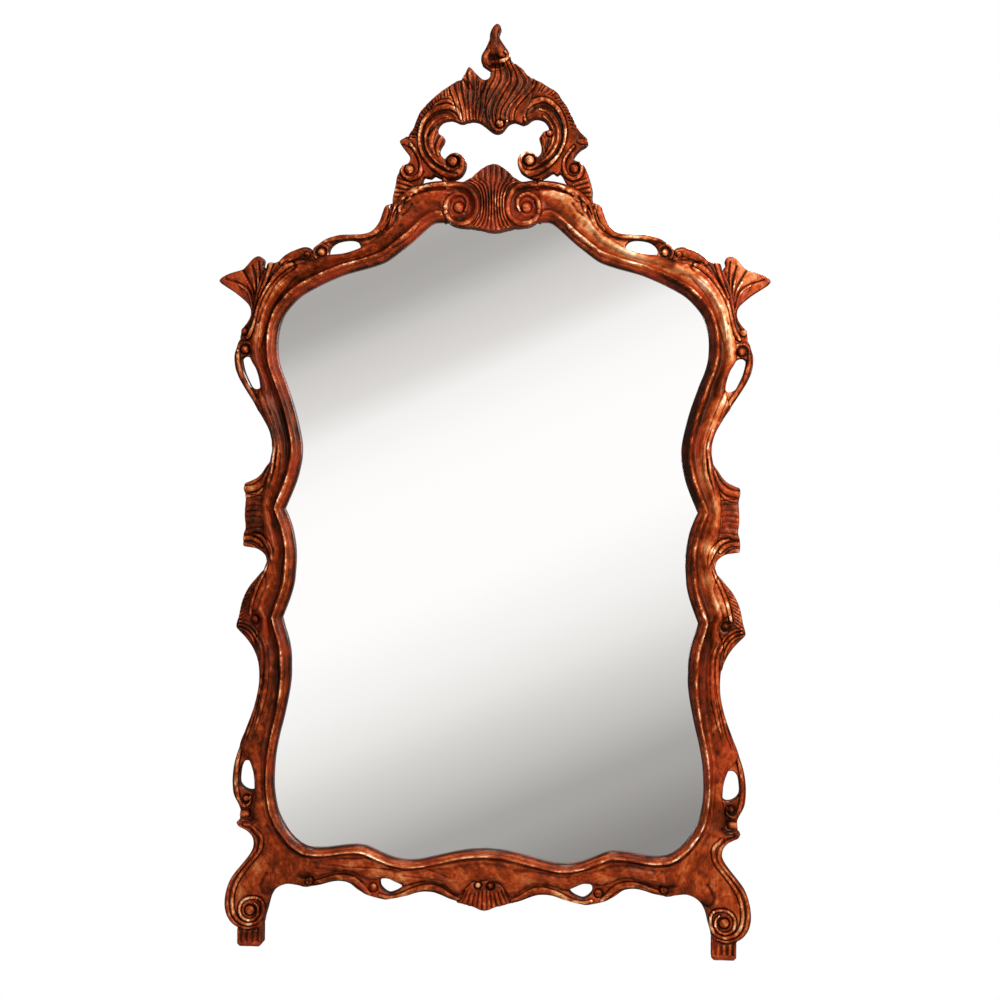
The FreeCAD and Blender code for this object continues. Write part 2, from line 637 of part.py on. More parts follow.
keystone_px = [
    (470.5, 178.6), (475.7, 174), (480.5, 170), (486, 166.7), (491.8, 164.8), (496.6, 165.3),
    (501, 167.6), (505, 170.5), (509.6, 174.3), (513, 178), (519, 181.4), (519, 187),
    (515, 195), (512, 205), (513, 215), (517, 224), (513, 227.6),
    (505, 229.4), (499, 231), (493, 231.6), (486.5, 231), (480, 229.2), (470, 227.8),
    (466, 224), (470, 214), (471, 204), (468, 195), (464, 187), (464, 181.4)]
flute_root_px = [(475.5, 181), (484, 175), (491.8, 172), (500, 174.8), (508.2, 181)]
flute_waist_px = [(480.6, 205), (486, 205), (491.3, 205), (496.6, 205), (501.8, 205)]
flute_tip_px = [(474.5, 226), (482.5, 227.4), (491.5, 229), (501, 227.4), (509.5, 225.8)]

top_volute_px = [
    (441, 181), (447, 181), (454, 181.3), (460.5, 182.2), (466, 182.6), (470.4, 186.5),
    (474.8, 192), (477.6, 199), (478.6, 206.5), (477.4, 214), (474.4, 219.6), (470.8, 223.4),
    (470, 227.6), (463, 227.6), (456, 226.7), (450, 224.6), (446.6, 222.4), (441, 220)]

crest_scroll_left_px = [
    (407.2, 137), (411.6, 129.5), (414.8, 122), (417.6, 115), (420, 110.8), (423.8, 106.4),
    (430, 99.8), (440, 91.3), (450, 84.7), (460, 79.9), (461.5, 90), (463.5, 100), (466.5, 110),
    (469.5, 120.2), (466, 121.2), (462, 122.7), (458, 122.4), (454, 120.6), (450, 119.5),
    (445.3, 120), (441.3, 121.4), (438, 124.5), (436.3, 128.2), (436.5, 131), (438, 133.8),
    (440.5, 135.7), (442.5, 136.6), (443.3, 138.6), (442.5, 142), (440, 146), (438.5, 149.5),
    (439, 153.5), (441.3, 156.7), (443.3, 158.7), (445, 157), (448, 154.3), (452.5, 153),
    (457.3, 153.5), (461.7, 156.7), (464.5, 160.7), (464.7, 166.3), (462.5, 172), (459, 176.3),
    (454, 178.7), (447.7, 179.5), (441.3, 178.7), (435.7, 176.3), (432.9, 175.3), (429.7, 178),
    (425.3, 176), (422.5, 169), (420, 160), (416.5, 151), (412, 143)]
crest_scroll_right_px = [
    (583.4, 137), (579, 132), (575.9, 127.8), (573.3, 122.6), (571, 117.5), (568, 111.6),
    (564.5, 105), (560, 99), (555.8, 92.6), (549.7, 88.4), (544.6, 85.4), (540, 82.5),
    (535, 80.2), (529.4, 78.4), (530.5, 90), (528.5, 103), (524.5, 113), (520.5, 123.2),
    (522.4, 123.7), (526, 122.3), (529.8, 119.3), (534.2, 117.8), (540, 118.8), (543.8, 121.5),
    (546.4, 125.6), (547.2, 129), (545.3, 130.2), (542, 131.8), (539.7, 135), (537.7, 138.2),
    (538.5, 142.2), (539.8, 147), (539.7, 152), (538, 155), (535.7, 156.5), (533.7, 154.3),
    (530, 152), (526, 151.5), (521.2, 153), (517.6, 156.7), (516.4, 160.7), (516.8, 166.3),
    (519.6, 172), (524.5, 175.5), (530, 178), (535.7, 178.9), (541.3, 178), (547, 174.7),
    (551.7, 172), (555, 174.7), (559, 171), (560.5, 163), (564, 155), (569, 147), (577, 139.5)]

crest_console_left_px = [
    (392, 204), (392, 198), (393.2, 192), (394.8, 185), (396, 177), (398, 172.7),
    (399.2, 168.3), (403, 165), (407.2, 163), (409.2, 159.5), (408.4, 156), (405.2, 151.5),
    (401.6, 147), (399.5, 143.4), (399.6, 140.6), (403.6, 137.8), (407.2, 136.6), (416, 142),
    (424, 156), (428, 168), (429, 177.6), (423.3, 176.6), (421.7, 180.3), (421, 184),
    (421, 192), (405, 200), (396, 212)]
crest_console_right_px = [
    (566, 184.7), (563.3, 180.7), (561, 176), (558, 172.5), (554, 173), (556, 160), (562, 150),
    (572, 139), (583.4, 136.4), (585.8, 140.6), (586.2, 143), (583.8, 145.8), (579, 148.7),
    (575, 152.7), (572.4, 157), (573.3, 160), (578, 161.5), (582, 165), (585.4, 171),
    (587.8, 178), (589.8, 184.7), (591, 191), (590.6, 198), (591.8, 204), (588, 212),
    (575, 200), (565, 194)]

crest_centre_px = [
    (459.8, 80), (464, 74), (467.6, 67.1), (473, 72), (480, 78.8), (483.5, 79.9), (486.8, 79.1),
    (489, 76.2), (489.3, 72.5), (497, 70.5), (505, 67.5), (511.5, 63.4), (516.5, 65.9),
    (520.2, 68.4), (523.2, 71.8), (526, 75.4), (529.6, 78.4), (536, 90), (536, 108),
    (528, 124), (520, 123.6), (513.6, 121.4), (509.2, 122.3), (505.8, 124.5), (502, 129.5),
    (499, 132), (495, 132.7), (491, 131.5), (487, 128.5), (480.5, 123.4), (475.4, 121),
    (469, 120.6), (460, 122), (455, 108), (454, 92)]
finial_px = [
    (490, 76), (489.4, 71.8), (488.3, 69.9), (483.5, 66.6), (480.5, 64), (479.8, 60),
    (480.4, 55.5), (483, 51), (484.6, 48.2), (487, 43), (488.3, 39.3), (488.6, 34.2),
    (490.5, 29.4), (493, 25.7), (496.2, 24), (499.2, 26.8), (498.8, 30), (497.4, 34.2),
    (498, 38), (501, 43), (504.7, 48.5), (507.7, 52.6), (508.8, 57), (510.3, 61.4),
    (512.6, 64.4), (512, 72), (500, 78)]

top_volute_beads_px = [
    [(446, 187.5, 2.4), (454, 187, 2.6), (463, 190, 2.6), (470, 197.5, 2.6), (472.2, 207, 2.6),
     (469, 216, 2.5), (461.5, 221, 2.4), (453.5, 219.5, 2.2), (448.6, 212.5, 2),
     (449.5, 203, 1.8), (456.5, 198.2, 1.6), (463, 200.5, 1.2)]]
top_volute_knobs_px = [(458, 207.4, 4.6)]
top_volute, top_volute_block = carving(
    top_volute_px, volute_thickness, rail_blocks, beads=top_volute_beads_px, knobs=top_volute_knobs_px)
pieces["top_volute"] = largest(top_volute.cut(rebate))
crown_blocks = [top_volute_block, mirrored(top_volute_block)]

keystone_combs_px = [(flute_root_px, flute_waist_px, 5, 2.2), (flute_waist_px, flute_tip_px, 5, 2.2)]
keystone, _ = carving(
    keystone_px, keystone_thickness, rail_blocks + [mirrored(rail_blocks[0])] + crown_blocks,
    combs=keystone_combs_px, rib=bead_rise)
keystone = largest(keystone.cut(rebate))

shell_neighbours = rail_blocks + [bottom_scroll_block, mirrored(bottom_scroll_block)]
bottom_shell_combs_px = [(shell_rib_root_px, shell_rib_tip_px, 9, 2.2)]
bottom_shell_knobs_px = [(478.4, 883.6, 3.2), (491.2, 884, 3.2)]
bottom_shell, _ = carving(
    bottom_shell_px, shell_thickness, shell_neighbours, combs=bottom_shell_combs_px, rib=bead_rise,
    knobs=bottom_shell_knobs_px)

# Crest: two C scrolls, the consoles that carry them, the centre and the finial
rail_blocks += [mirrored(block) for block in rail_blocks[:3]]
base_blocks = rail_blocks + crown_blocks + [rail_scroll_block, mirrored(rail_scroll_block)]
crest_scroll_left_beads_px = [
    [(461, 159, 1.4), (462, 166, 1.9), (458, 172.8, 2.1), (450, 176.2, 2.3), (440, 175.4, 2.6),
     (431, 170.5, 3.4), (425.5, 161, 4.2), (422.4, 149, 4.8), (421.8, 137, 5), (423.6, 125, 4.9),
     (428.6, 115.4, 4.6), (437, 109, 4.2), (447, 107, 3.4), (455, 110, 2.6), (460.5, 116, 1.8)],
    [(427, 143, 1.8), (432.5, 136.5, 2.2), (436, 132, 1.6)],
    [(428.5, 152, 1.8), (435.5, 145.5, 2.2), (440.5, 140, 1.6)]]
crest_scroll_left_combs_px = [
    ([(414.5, 137), (417.5, 126), (422, 116), (429, 107), (438.5, 100.5), (450, 97.5), (460, 99)],
     [(408.4, 137.4), (416, 122), (421.5, 111), (430.5, 101.4), (441, 92.4), (451, 85.8),
      (459.4, 82)],
     20, 1.25)]
crest_scroll_left_knobs_px = [(452, 161.6, 4.8)]
crest_scroll_left, scroll_left_block = carving(
    crest_scroll_left_px, crest_thickness, base_blocks, beads=crest_scroll_left_beads_px,
    combs=crest_scroll_left_combs_px, knobs=crest_scroll_left_knobs_px, bead=crest_bead_rise)
crest_scroll_right_beads_px = [
    [(519.8, 159, 1.4), (519, 166, 1.9), (523, 172.6, 2.1), (531, 176, 2.3), (541, 174.2, 2.6),
     (549.5, 168.4, 3.4), (555.6, 158.5, 4.2), (559.6, 147, 4.8), (560.6, 135, 5),
     (558.8, 123, 4.9), (553.6, 112.6, 4.6), (545.6, 105.4, 4.2), (536.4, 102.6, 3.4),
     (529, 106, 2.6), (525.6, 113, 1.8)],
    [(555, 143, 1.8), (549.5, 138, 2.2), (546, 133.4, 1.6)]]
crest_scroll_right_combs_px = [
    ([(532, 97), (541, 97), (551, 101.4), (559, 109.4), (564.6, 119.4), (568, 133)],
     [(531.4, 81), (541, 85), (552, 92), (562, 104), (570.4, 118), (580.6, 136)],
     16, 1.25)]
crest_scroll_right_knobs_px = [(527.8, 159.4, 4.8)]
crest_scroll_right, scroll_right_block = carving(
    crest_scroll_right_px, crest_thickness, base_blocks, beads=crest_scroll_right_beads_px,
    combs=crest_scroll_right_combs_px, knobs=crest_scroll_right_knobs_px, bead=crest_bead_rise)
crest_blocks = base_blocks + [scroll_left_block, scroll_right_block]
crest_console_left_beads_px = [
    [(402.4, 141.6, 1.7), (409, 145, 2), (414.2, 151, 2.2), (418.2, 158.6, 2.3),
     (420.2, 167, 2.3), (418, 175.4, 2.3), (411, 180, 2.2), (404, 177, 2), (401.6, 170.4, 1.8)]]
crest_console_left_combs_px = [
    ([(411, 187), (402, 196)],
     [(399.6, 181.6), (395.4, 194.4)],
     4, 1.4)]
crest_console_left_knobs_px = [(409, 170.6, 4)]
console_left, console_left_block = carving(
    crest_console_left_px, crest_thickness, crest_blocks, beads=crest_console_left_beads_px,
    combs=crest_console_left_combs_px, knobs=crest_console_left_knobs_px)
crest_console_right_beads_px = [
    [(583, 141.6, 1.7), (575.6, 146, 2), (569, 152, 2.2), (564, 159, 2.3), (561.8, 167, 2.3),
     (564, 175, 2.3), (571, 179, 2.2), (578, 176, 2), (580.4, 169.8, 1.8)]]
crest_console_right_combs_px = [
    ([(572, 186.6), (581, 195.6)],
     [(583.4, 181), (587.6, 194)],
     4, 1.4)]
crest_console_right_knobs_px = [(573, 169.4, 4)]
console_right, _ = carving(
    crest_console_right_px, crest_thickness, crest_blocks, beads=crest_console_right_beads_px,
    combs=crest_console_right_combs_px, knobs=crest_console_right_knobs_px)
crest_centre_beads_px = [
    [(484, 122, 2.4), (476.5, 111, 3.2), (471, 99, 3.4), (468, 87, 2.8), (467.4, 74, 1.6)],
    [(491, 127, 2.4), (486.5, 113, 3), (482, 100, 3.2), (478, 90, 2.6), (474.5, 80, 1.6)],
    [(499.5, 116, 2.4), (496, 103, 3), (492, 91, 2.8), (488.5, 82.5, 1.8)],
    [(508.5, 118, 2.4), (507.5, 104, 3.2), (502.5, 91.5, 3), (497, 80, 2.2)],
    [(515.5, 117.5, 2.4), (518, 104, 3), (512.5, 91, 3), (505, 79.5, 2.4)],
    [(522.5, 117, 2), (526.4, 104, 2.6), (523, 92, 2.6), (516, 81, 2.4), (509.5, 71, 1.8)]]
crest_centre_knobs_px = [(498.5, 124.8, 4)]
crest_centre, centre_block = carving(
    crest_centre_px, crest_centre_thickness, crest_blocks + [console_left_block],
    beads=crest_centre_beads_px, knobs=crest_centre_knobs_px)
finial_beads_px = [
    [(498.5, 66, 2), (494, 54, 2.2), (491.6, 43, 2.2), (492.6, 33, 1.8), (495.6, 27, 1)],
    [(487.5, 66.6, 1.6), (483, 59, 2), (486, 51, 1.8)],
    [(506.4, 65.4, 1.8), (505, 54.6, 2), (499, 45.4, 1.8)]]
finial, _ = carving(
    finial_px, finial_thickness, crest_blocks + [centre_block], beads=finial_beads_px)

# Foot: the corner block of the frame and the scroll below it are one piece
pieces["foot"] = largest(corner.fuse(pieces.pop("foot_slab")))
pad_left, pad_right = place(*foot_pad_px[0])[0], place(*foot_pad_px[2])[0]
pad_top, pad_bottom = place(*foot_pad_px[0])[1], place(*base_px)[1]
foot_pad = slab([
    (pad_left, pad_top), (pad_left, pad_bottom + pad_corner), (pad_left + pad_corner, pad_bottom),
    (pad_right - pad_corner, pad_bottom), (pad_right, pad_bottom + pad_corner), (pad_right, pad_top)],
    depth(0), depth(pad_thickness)).cut(foot_block)
pad_pitch = (pad_right - pad_left) / pad_flutes
for k in range(pad_flutes):
    start = V(pad_left + (k + 0.5) * pad_pitch, depth(pad_thickness + pad_flute_lift),
              pad_bottom + pad_corner)
    foot_pad = foot_pad.cut(Part.makeCylinder(pad_flute_radius, pad_top - pad_bottom, start))
pieces["foot_pad"] = largest(foot_pad)
pieces["top_rail"], pieces["stile"] = top_rail, stile

# Both halves of the frame, and the pieces that stand alone
woods = {}
for name, shape in pieces.items():
    woods[name + "_left"] = shape
    woods[name + "_right"] = mirrored(shape)
woods.update({
    "bottom_rail": bottom_rail, "bottom_shell": bottom_shell, "keystone_shell": keystone,
    "crest_scroll_left": crest_scroll_left, "crest_scroll_right": crest_scroll_right,
    "crest_console_left": console_left, "crest_console_right": console_right,
    "crest_centre": crest_centre, "finial": finial})

# Keys let into both sides of each joint
keys = []
for i in (top_start, stile_start, corner_start, bottom_start):
    keys += [key_at(i), mirrored(key_at(i))]


# Glass, its blocks and the backing board, in the rebate
def rim_block(i):
    """A small block behind the glass, between two stations by the rebate."""
    outer, inner = rebate_width - board_clearance, rebate_width - board_clearance - block_width
    corners = [reach(i, outer), reach(i + 1, outer), reach(i + 1, inner), reach(i, inner)]
    return slab(corners, depth(board_thickness), depth(board_thickness + block_thickness))


def nearest_station(px):
    """The station whose glass edge is nearest to a picture place."""
    x, z = place(*px)
    return min(range(top_start, bottom_middle),
               key=lambda i: math.hypot(stations[i][0][0] - x, stations[i][0][1] - z))


mirror_plate = slab(loop_at(rebate_width - glass_clearance),
                    depth(rebate_depth - glass_thickness), depth(rebate_depth))
backing_board = slab(loop_at(rebate_width - board_clearance), depth(0), depth(board_thickness))
blocks = []
for px in block_px:
    block = rim_block(nearest_station(px))
    blocks += [block, mirrored(block)]


# Screws: each one is driven from behind, and every wood has its hole
def screw(x, z, seat, radius, length, head_radius, head_height):
    """A screw whose head bears on the plane y = seat."""
    shank = Part.makeCylinder(radius, length, V(x, seat, z), V(0, -1, 0))
    head = Part.makeCylinder(head_radius, head_height, V(x, seat, z), V(0, 1, 0))
    return head.fuse(shank), shank


def wood_screw(x, z, seat):
    """The small screw that holds a batten or a strap."""
    return screw(x, z, seat, screw_shank_radius, screw_shank_length, screw_head_radius,
                 screw_head_height)


def batten(start_px, end_px, width, thickness):
    """A flat batten on the back of the frame, between two picture places."""
    (ax, az), (bx, bz) = place(*start_px), place(*end_px)
    run = V(bx - ax, 0, bz - az).normalize()
    side = V(-run.z, 0, run.x) * (width / 2)
    a, b = V(ax, 0, az), V(bx, 0, bz)
    return slab([(c.x, c.z) for c in (a - side, b - side, b + side, a + side)],
                depth(-thickness), depth(0))


def batten_screws(places_px, thickness):
    """A row of screws through a batten."""
    return [wood_screw(*place(*px), depth(-thickness)) for px in places_px]


brace = batten(brace_px[0], brace_px[1], brace_width, brace_thickness)
brace_screws = batten_screws(brace_screw_px, brace_thickness)
brace_screws += [(mirrored(s), mirrored(h)) for s, h in brace_screws]
crown_batten = batten(crown_batten_px[0], crown_batten_px[1], batten_width, brace_thickness)
crest_batten = batten(crest_batten_px[0], crest_batten_px[1], batten_width, brace_thickness)
batten_fixings = batten_screws(crown_screw_px + crest_screw_px, brace_thickness)
crest_screws = brace_screws + batten_fixings


# Hangers: a strap with a rolled knuckle, and the ring that swings in it
hanger_x = place(*ring_px)[0]
knuckle_bore = ring_wire_radius + ring_bore_gap
knuckle_radius = knuckle_bore + knuckle_wall
knuckle_y = depth(-knuckle_radius)
knuckle_start = V(hanger_x - strap_width / 2, knuckle_y, 0)
strap = Part.makeBox(strap_width, strap_thickness, strap_length,
                     V(hanger_x - strap_width / 2, depth(0), -strap_length))
knuckle = Part.makeCylinder(knuckle_radius, strap_width, knuckle_start, V(1, 0, 0))
bore = Part.makeCylinder(knuckle_bore, strap_width, knuckle_start, V(1, 0, 0))
strap = strap.fuse(knuckle).cut(bore)
strap_screws = [wood_screw(hanger_x, -drop, depth(-strap_thickness)) for drop in strap_screw_drops]
for _, shank in strap_screws:
    strap = strap.cut(shank)
strap_screws += [(mirrored(s), mirrored(h)) for s, h in strap_screws]

ring_bar = Part.makeCylinder(ring_wire_radius, 2 * ring_radius,
                             V(hanger_x - ring_radius, knuckle_y, 0), V(1, 0, 0))
ring_bow = Part.makeTorus(ring_radius, ring_wire_radius, V(hanger_x, knuckle_y, 0), V(0, 1, 0))
bow_room = 2 * (ring_radius + ring_wire_radius)
lower_half = Part.makeBox(bow_room, bow_room, bow_room,
                          V(hanger_x - bow_room / 2, knuckle_y - bow_room / 2, -bow_room))
hanger_ring = ring_bow.common(lower_half).fuse(ring_bar)
for side in (-1, 1):
    hanger_ring = hanger_ring.fuse(
        Part.makeSphere(ring_wire_radius, V(hanger_x + side * ring_radius, knuckle_y, 0)))


# Turn buttons: each swivels on a screw and laps over the backing board
def turn_button(i):
    """A round-ended button at a station, pointing at the glass, and its screw."""
    way = directions[i][0]
    px, pz = reach(i, rebate_width + button_pivot_offset)
    pivot = V(px, depth(-button_underside_gap), pz)
    radius = button_width / 2
    tail = pivot + way * (button_tail - radius)
    tip = pivot - way * (button_length - button_tail - radius)
    side = V(-way.z, 0, way.x) * radius
    outline = Part.Wire([
        Part.LineSegment(tail + side, tip + side).toShape(),
        Part.Arc(tip + side, tip - way * radius, tip - side).toShape(),
        Part.LineSegment(tip - side, tail - side).toShape(),
        Part.Arc(tail - side, tail + way * radius, tail + side).toShape()])
    plate = Part.Face(outline).extrude(V(0, button_thickness, 0))
    hole = Part.makeCylinder(button_screw_radius + button_bore_gap, button_thickness, pivot, V(0, 1, 0))
    seat = depth(-(button_underside_gap + button_thickness + button_head_gap))
    fixing = screw(px, pz, seat, button_screw_radius, button_screw_length, button_head_radius,
                   button_head_height)
    return plate.cut(hole), fixing


buttons, button_screws = [], []
for px in button_px:
    plate, fixing = turn_button(nearest_station(px))
    buttons += [plate, mirrored(plate)]
    button_screws += [fixing, (mirrored(fixing[0]), mirrored(fixing[1]))]

bumpers = []
for px in bumper_px:
    x, z = place(*px)
    bumper = Part.makeCylinder(bumper_radius, wall_gap, V(x, depth(0), z), V(0, 1, 0))
    bumpers += [bumper, mirrored(bumper)]

# Let the keys and the screws into every wood that they enter
fixings = [shank for _, shank in crest_screws + strap_screws + button_screws]
battens = {"crest_brace_left": brace, "crest_brace_right": mirrored(brace),
           "crown_batten": crown_batten, "crest_batten": crest_batten}
for group in (woods, battens):
    for name, shape in group.items():
        entering = [f for f in fixings + keys if f.BoundBox.intersect(shape.BoundBox)]
        if entering:
            group[name] = shape.cut(Part.makeCompound(entering))

# One file for each piece
for name, shape in list(woods.items()) + list(battens.items()):
    export(name, shape)
export("joint_keys", Part.makeCompound(keys))
export("mirror_plate", mirror_plate)
export("glazing_blocks", Part.makeCompound(blocks))
export("backing_board", backing_board)
export("crest_screws", Part.makeCompound([s for s, _ in crest_screws]))
export("hanger_screws", Part.makeCompound([s for s, _ in strap_screws]))
export("button_screws", Part.makeCompound([s for s, _ in button_screws]))
export("wall_bumpers", Part.makeCompound(bumpers))
for side, shape in (("left", strap), ("right", mirrored(strap))):
    export("hanger_strap_" + side, shape)
for side, shape in (("left", hanger_ring), ("right", mirrored(hanger_ring))):
    export("hanger_ring_" + side, shape)
for number, shape in enumerate(buttons, 1):
    export("turn_button_%d" % number, shape)

print("ring axis at", hanger_x, knuckle_y, "foot level", pad_bottom, "pads", pad_left, pad_right)
for px in button_px:
    i = nearest_station(px)
    print("button pivot at", reach(i, rebate_width + button_pivot_offset), "width", rail_width(i))
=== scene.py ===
import bpy
import json
import math
import numpy as np
from mathutils import Matrix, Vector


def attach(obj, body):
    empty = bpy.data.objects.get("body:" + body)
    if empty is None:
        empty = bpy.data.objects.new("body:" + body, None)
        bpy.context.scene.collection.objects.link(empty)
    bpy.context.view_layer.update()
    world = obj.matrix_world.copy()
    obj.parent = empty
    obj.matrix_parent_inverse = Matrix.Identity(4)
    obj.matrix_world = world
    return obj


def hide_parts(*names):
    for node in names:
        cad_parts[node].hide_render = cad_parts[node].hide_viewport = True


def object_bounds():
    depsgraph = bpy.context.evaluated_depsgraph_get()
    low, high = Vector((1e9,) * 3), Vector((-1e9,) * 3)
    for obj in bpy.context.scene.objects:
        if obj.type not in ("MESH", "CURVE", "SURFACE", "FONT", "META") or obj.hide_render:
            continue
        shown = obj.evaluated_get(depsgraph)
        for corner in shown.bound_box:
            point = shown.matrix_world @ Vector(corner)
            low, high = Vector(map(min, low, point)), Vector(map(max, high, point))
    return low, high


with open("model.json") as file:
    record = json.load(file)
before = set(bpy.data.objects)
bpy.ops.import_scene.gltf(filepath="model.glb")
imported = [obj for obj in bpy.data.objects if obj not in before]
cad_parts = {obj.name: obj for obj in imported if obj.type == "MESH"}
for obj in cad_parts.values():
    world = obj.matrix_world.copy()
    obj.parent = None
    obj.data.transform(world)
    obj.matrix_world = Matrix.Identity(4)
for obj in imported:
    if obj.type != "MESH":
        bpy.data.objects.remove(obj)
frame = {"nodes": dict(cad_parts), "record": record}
cad_low, cad_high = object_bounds()
nodes = frame["nodes"]

# Camera: the picture was taken three metres in front of the glass, a little to the right of its
# middle, with a long lens. The small turn, tilt and roll are the ones the picture shows.
camera_place = (0.2523, -3.030, -0.1161)
yaw, pitch, roll = (math.radians(angle) for angle in (-4.479, -0.190, 0.611))
lens_share = 1.8640            # focal length over the width of the picture


def aimed(side, lift, ahead, spot):
    """The matrix of a camera or lamp at a spot, from the way to its side, up and ahead."""
    rows = [[side[k], lift[k], -ahead[k], spot[k]] for k in range(3)]
    return Matrix(rows + [[0, 0, 0, 1]])


ahead = np.array([
    math.sin(yaw) * math.cos(pitch), math.cos(yaw) * math.cos(pitch), math.sin(pitch)])
level = np.array([math.cos(yaw), -math.sin(yaw), 0.0])
upright = np.cross(level, ahead)
right = math.cos(roll) * level + math.sin(roll) * upright
top = -math.sin(roll) * level + math.cos(roll) * upright
camera = bpy.data.objects.new("camera", bpy.data.cameras.new("camera"))
camera.data.lens = lens_share * camera.data.sensor_width
camera.matrix_world = aimed(right, top, ahead, camera_place)
bpy.context.scene.collection.objects.link(camera)
bpy.context.scene.camera = camera


# Rails: two top rails, two tall stiles and the bottom rail, sawn from walnut plank, carved along
# their length and keyed end to end. Each is carved in one go from the glass edge outwards: a
# sloping band, a thin arris, a cove, a broad swelling and a bead by the outer edge.
centre_px = (488.9, 492.9)
top_px = (496.2, 24.0)
base_px = (251.5, 944.2)
ring_px = (280.0, 420.0)
lean_share = 0.00873
turn_share = 0.0106
turn_reach_px = 250.0
turn_width_share = 1.006
nearness = turn_share / turn_reach_px


def straighten(x_px, y_px):
    """A picture place without the picture's lean and turn: turned by the lean, divided by how much
    nearer that side is, and widened by what the turn takes off its width."""
    across, up = x_px - centre_px[0], centre_px[1] - y_px
    plain, plumb = across - lean_share * up, up + lean_share * across
    near = 1 + nearness * plain
    return plain * turn_width_share / near, plumb / near


mm = 0.001
mm_per_px = (cad_high.z - cad_low.z) / mm / (straighten(*top_px)[1] - straighten(*base_px)[1])
ring_level_px = straighten(*ring_px)[1]


def place(x_px, y_px):
    """A picture place as x and z on the part, in millimetres."""
    plain, plumb = straighten(x_px, y_px)
    return plain * mm_per_px, (plumb - ring_level_px) * mm_per_px


def picture(x, z):
    """Where a place on the part, in millimetres, lies in the picture: straighten() undone."""
    plain, plumb = x / mm_per_px / turn_width_share, z / mm_per_px + ring_level_px
    plain = plain / (1 - nearness * plain)
    plumb = plumb * (1 + nearness * plain)
    across = (plain + lean_share * plumb) / (1 + lean_share ** 2)
    up = (plumb - lean_share * plain) / (1 + lean_share ** 2)
    return centre_px[0] + across, centre_px[1] - up


back_gap = 8.0                 # from the wall to the back of the frame
rebate_depth = 13.0
rebate_width = 8.5
weld = 0.01
facing_share = 0.99            # how squarely a triangle has to face the wall to count as the back
depth_slack = 0.5


def back_edges(name):
    """The places and the edges round everything on a node that faces the wall: edges that only one
    of its wall-facing triangles uses."""
    mesh = nodes[name].data
    places = np.empty(len(mesh.vertices) * 3, np.float32)
    mesh.vertices.foreach_get("co", places)
    places = places.reshape(-1, 3).astype(float) / mm
    faces = np.empty(len(mesh.polygons) * 3, np.int32)
    mesh.polygons.foreach_get("vertices", faces)
    faces = faces.reshape(-1, 3)
    a, b, c = (places[faces[:, k]] for k in range(3))
    normal = np.cross(b - a, c - a)
    facing = normal[:, 1] > facing_share * np.linalg.norm(normal, axis=1)
    farthest = np.minimum(np.minimum(a[:, 1], b[:, 1]), c[:, 1])
    shallow = farthest > -back_gap - rebate_depth - depth_slack
    _, first, same = np.unique(np.round(places[:, [0, 2]] / weld), axis=0, return_index=True,
                               return_inverse=True)
    kept = same.reshape(-1)[faces[facing & shallow]]
    ends = np.sort(np.concatenate([kept[:, [0, 1]], kept[:, [1, 2]], kept[:, [2, 0]]]), axis=1)
    edges, uses = np.unique(ends, axis=0, return_counts=True)
    return places[first][:, [0, 2]], edges[uses == 1]


least_loop = 8.0               # smaller loops are screw holes


def outlines(name):
    """A node's outlines, each a closed row of places, the outer one running anticlockwise and the
    piercings clockwise."""
    places, edges = back_edges(name)
    beside = {}
    for a, b in edges.tolist():
        beside.setdefault(a, []).append(b)
        beside.setdefault(b, []).append(a)
    rows = []
    while any(beside.values()):
        here = start = next(k for k, others in beside.items() if others)
        row = []
        while True:
            row.append(here)
            onward = beside[here].pop()
            beside[onward].remove(here)
            here = onward
            if here == start:
                break
        row = places[row]
        if np.ptp(row, axis=0).max() > least_loop:
            x, z = row.T
            area = np.sum(x * np.roll(z, -1) - z * np.roll(x, -1)) / 2
            rows.append((abs(area), row if area > 0 else row[::-1]))
    rows.sort(key=lambda found: -found[0])
    return [rows[0][1]] + [row[::-1] for _, row in rows[1:]]


def spans(starts, ends, start_slopes, end_slopes, steps):
    """Hermite spans: cubic curves from starts to ends that leave and arrive with these slopes."""
    t = (np.arange(steps) / steps)[None, :, None]
    a, b, m, n = (rows[:, None] for rows in (starts, ends, start_slopes, end_slopes))
    curve = ((2 * t ** 3 - 3 * t ** 2 + 1) * a + (t ** 3 - 2 * t ** 2 + t) * m
             + (3 * t ** 2 - 2 * t ** 3) * b + (t ** 3 - t ** 2) * n)
    return curve.reshape(-1, starts.shape[1])


def refine(rows, steps):
    """Catmull-Rom curve through the rows: spans whose slope at each row is half the way from the
    row before to the row after, and at both ends the way to the only neighbour."""
    slope = np.empty_like(rows)
    slope[1:-1] = (rows[2:] - rows[:-2]) / 2
    slope[0], slope[-1] = rows[1] - rows[0], rows[-1] - rows[-2]
    return np.vstack([spans(rows[:-1], rows[1:], slope[:-1], slope[1:], steps), rows[-1:]])


plate_setback = 7.0
board_setback = 7.5
top_pull = 100                 # how much more the middle counts than the height, for the start


def round_the_glass(name):
    """The loop of a plate, from the middle of its top down the left side and back up the right."""
    row = outlines(name)[0]
    start = np.argmax(row[:, 1] - top_pull * np.abs(row[:, 0]))
    return np.roll(row, -start, axis=0)


plate_line, board_line = round_the_glass("mirror_plate"), round_the_glass("backing_board")
outward = (board_line - plate_line) / (board_setback - plate_setback)
sight_line = plate_line - plate_setback * outward


station_slack = 0.2


def station_widths(names):
    """Each station's rail width: the farthest corner of the rails that lies on its line."""
    corners = np.vstack([back_edges(name)[0] for name in names])
    apart = corners[None] - sight_line[:, None]
    reach = np.sum(apart * outward[:, None], axis=2) / np.sum(outward ** 2, axis=1)[:, None]
    off = np.linalg.norm(apart - reach[..., None] * outward[:, None], axis=2)
    return np.where(off < station_slack, reach, 0).max(axis=1)


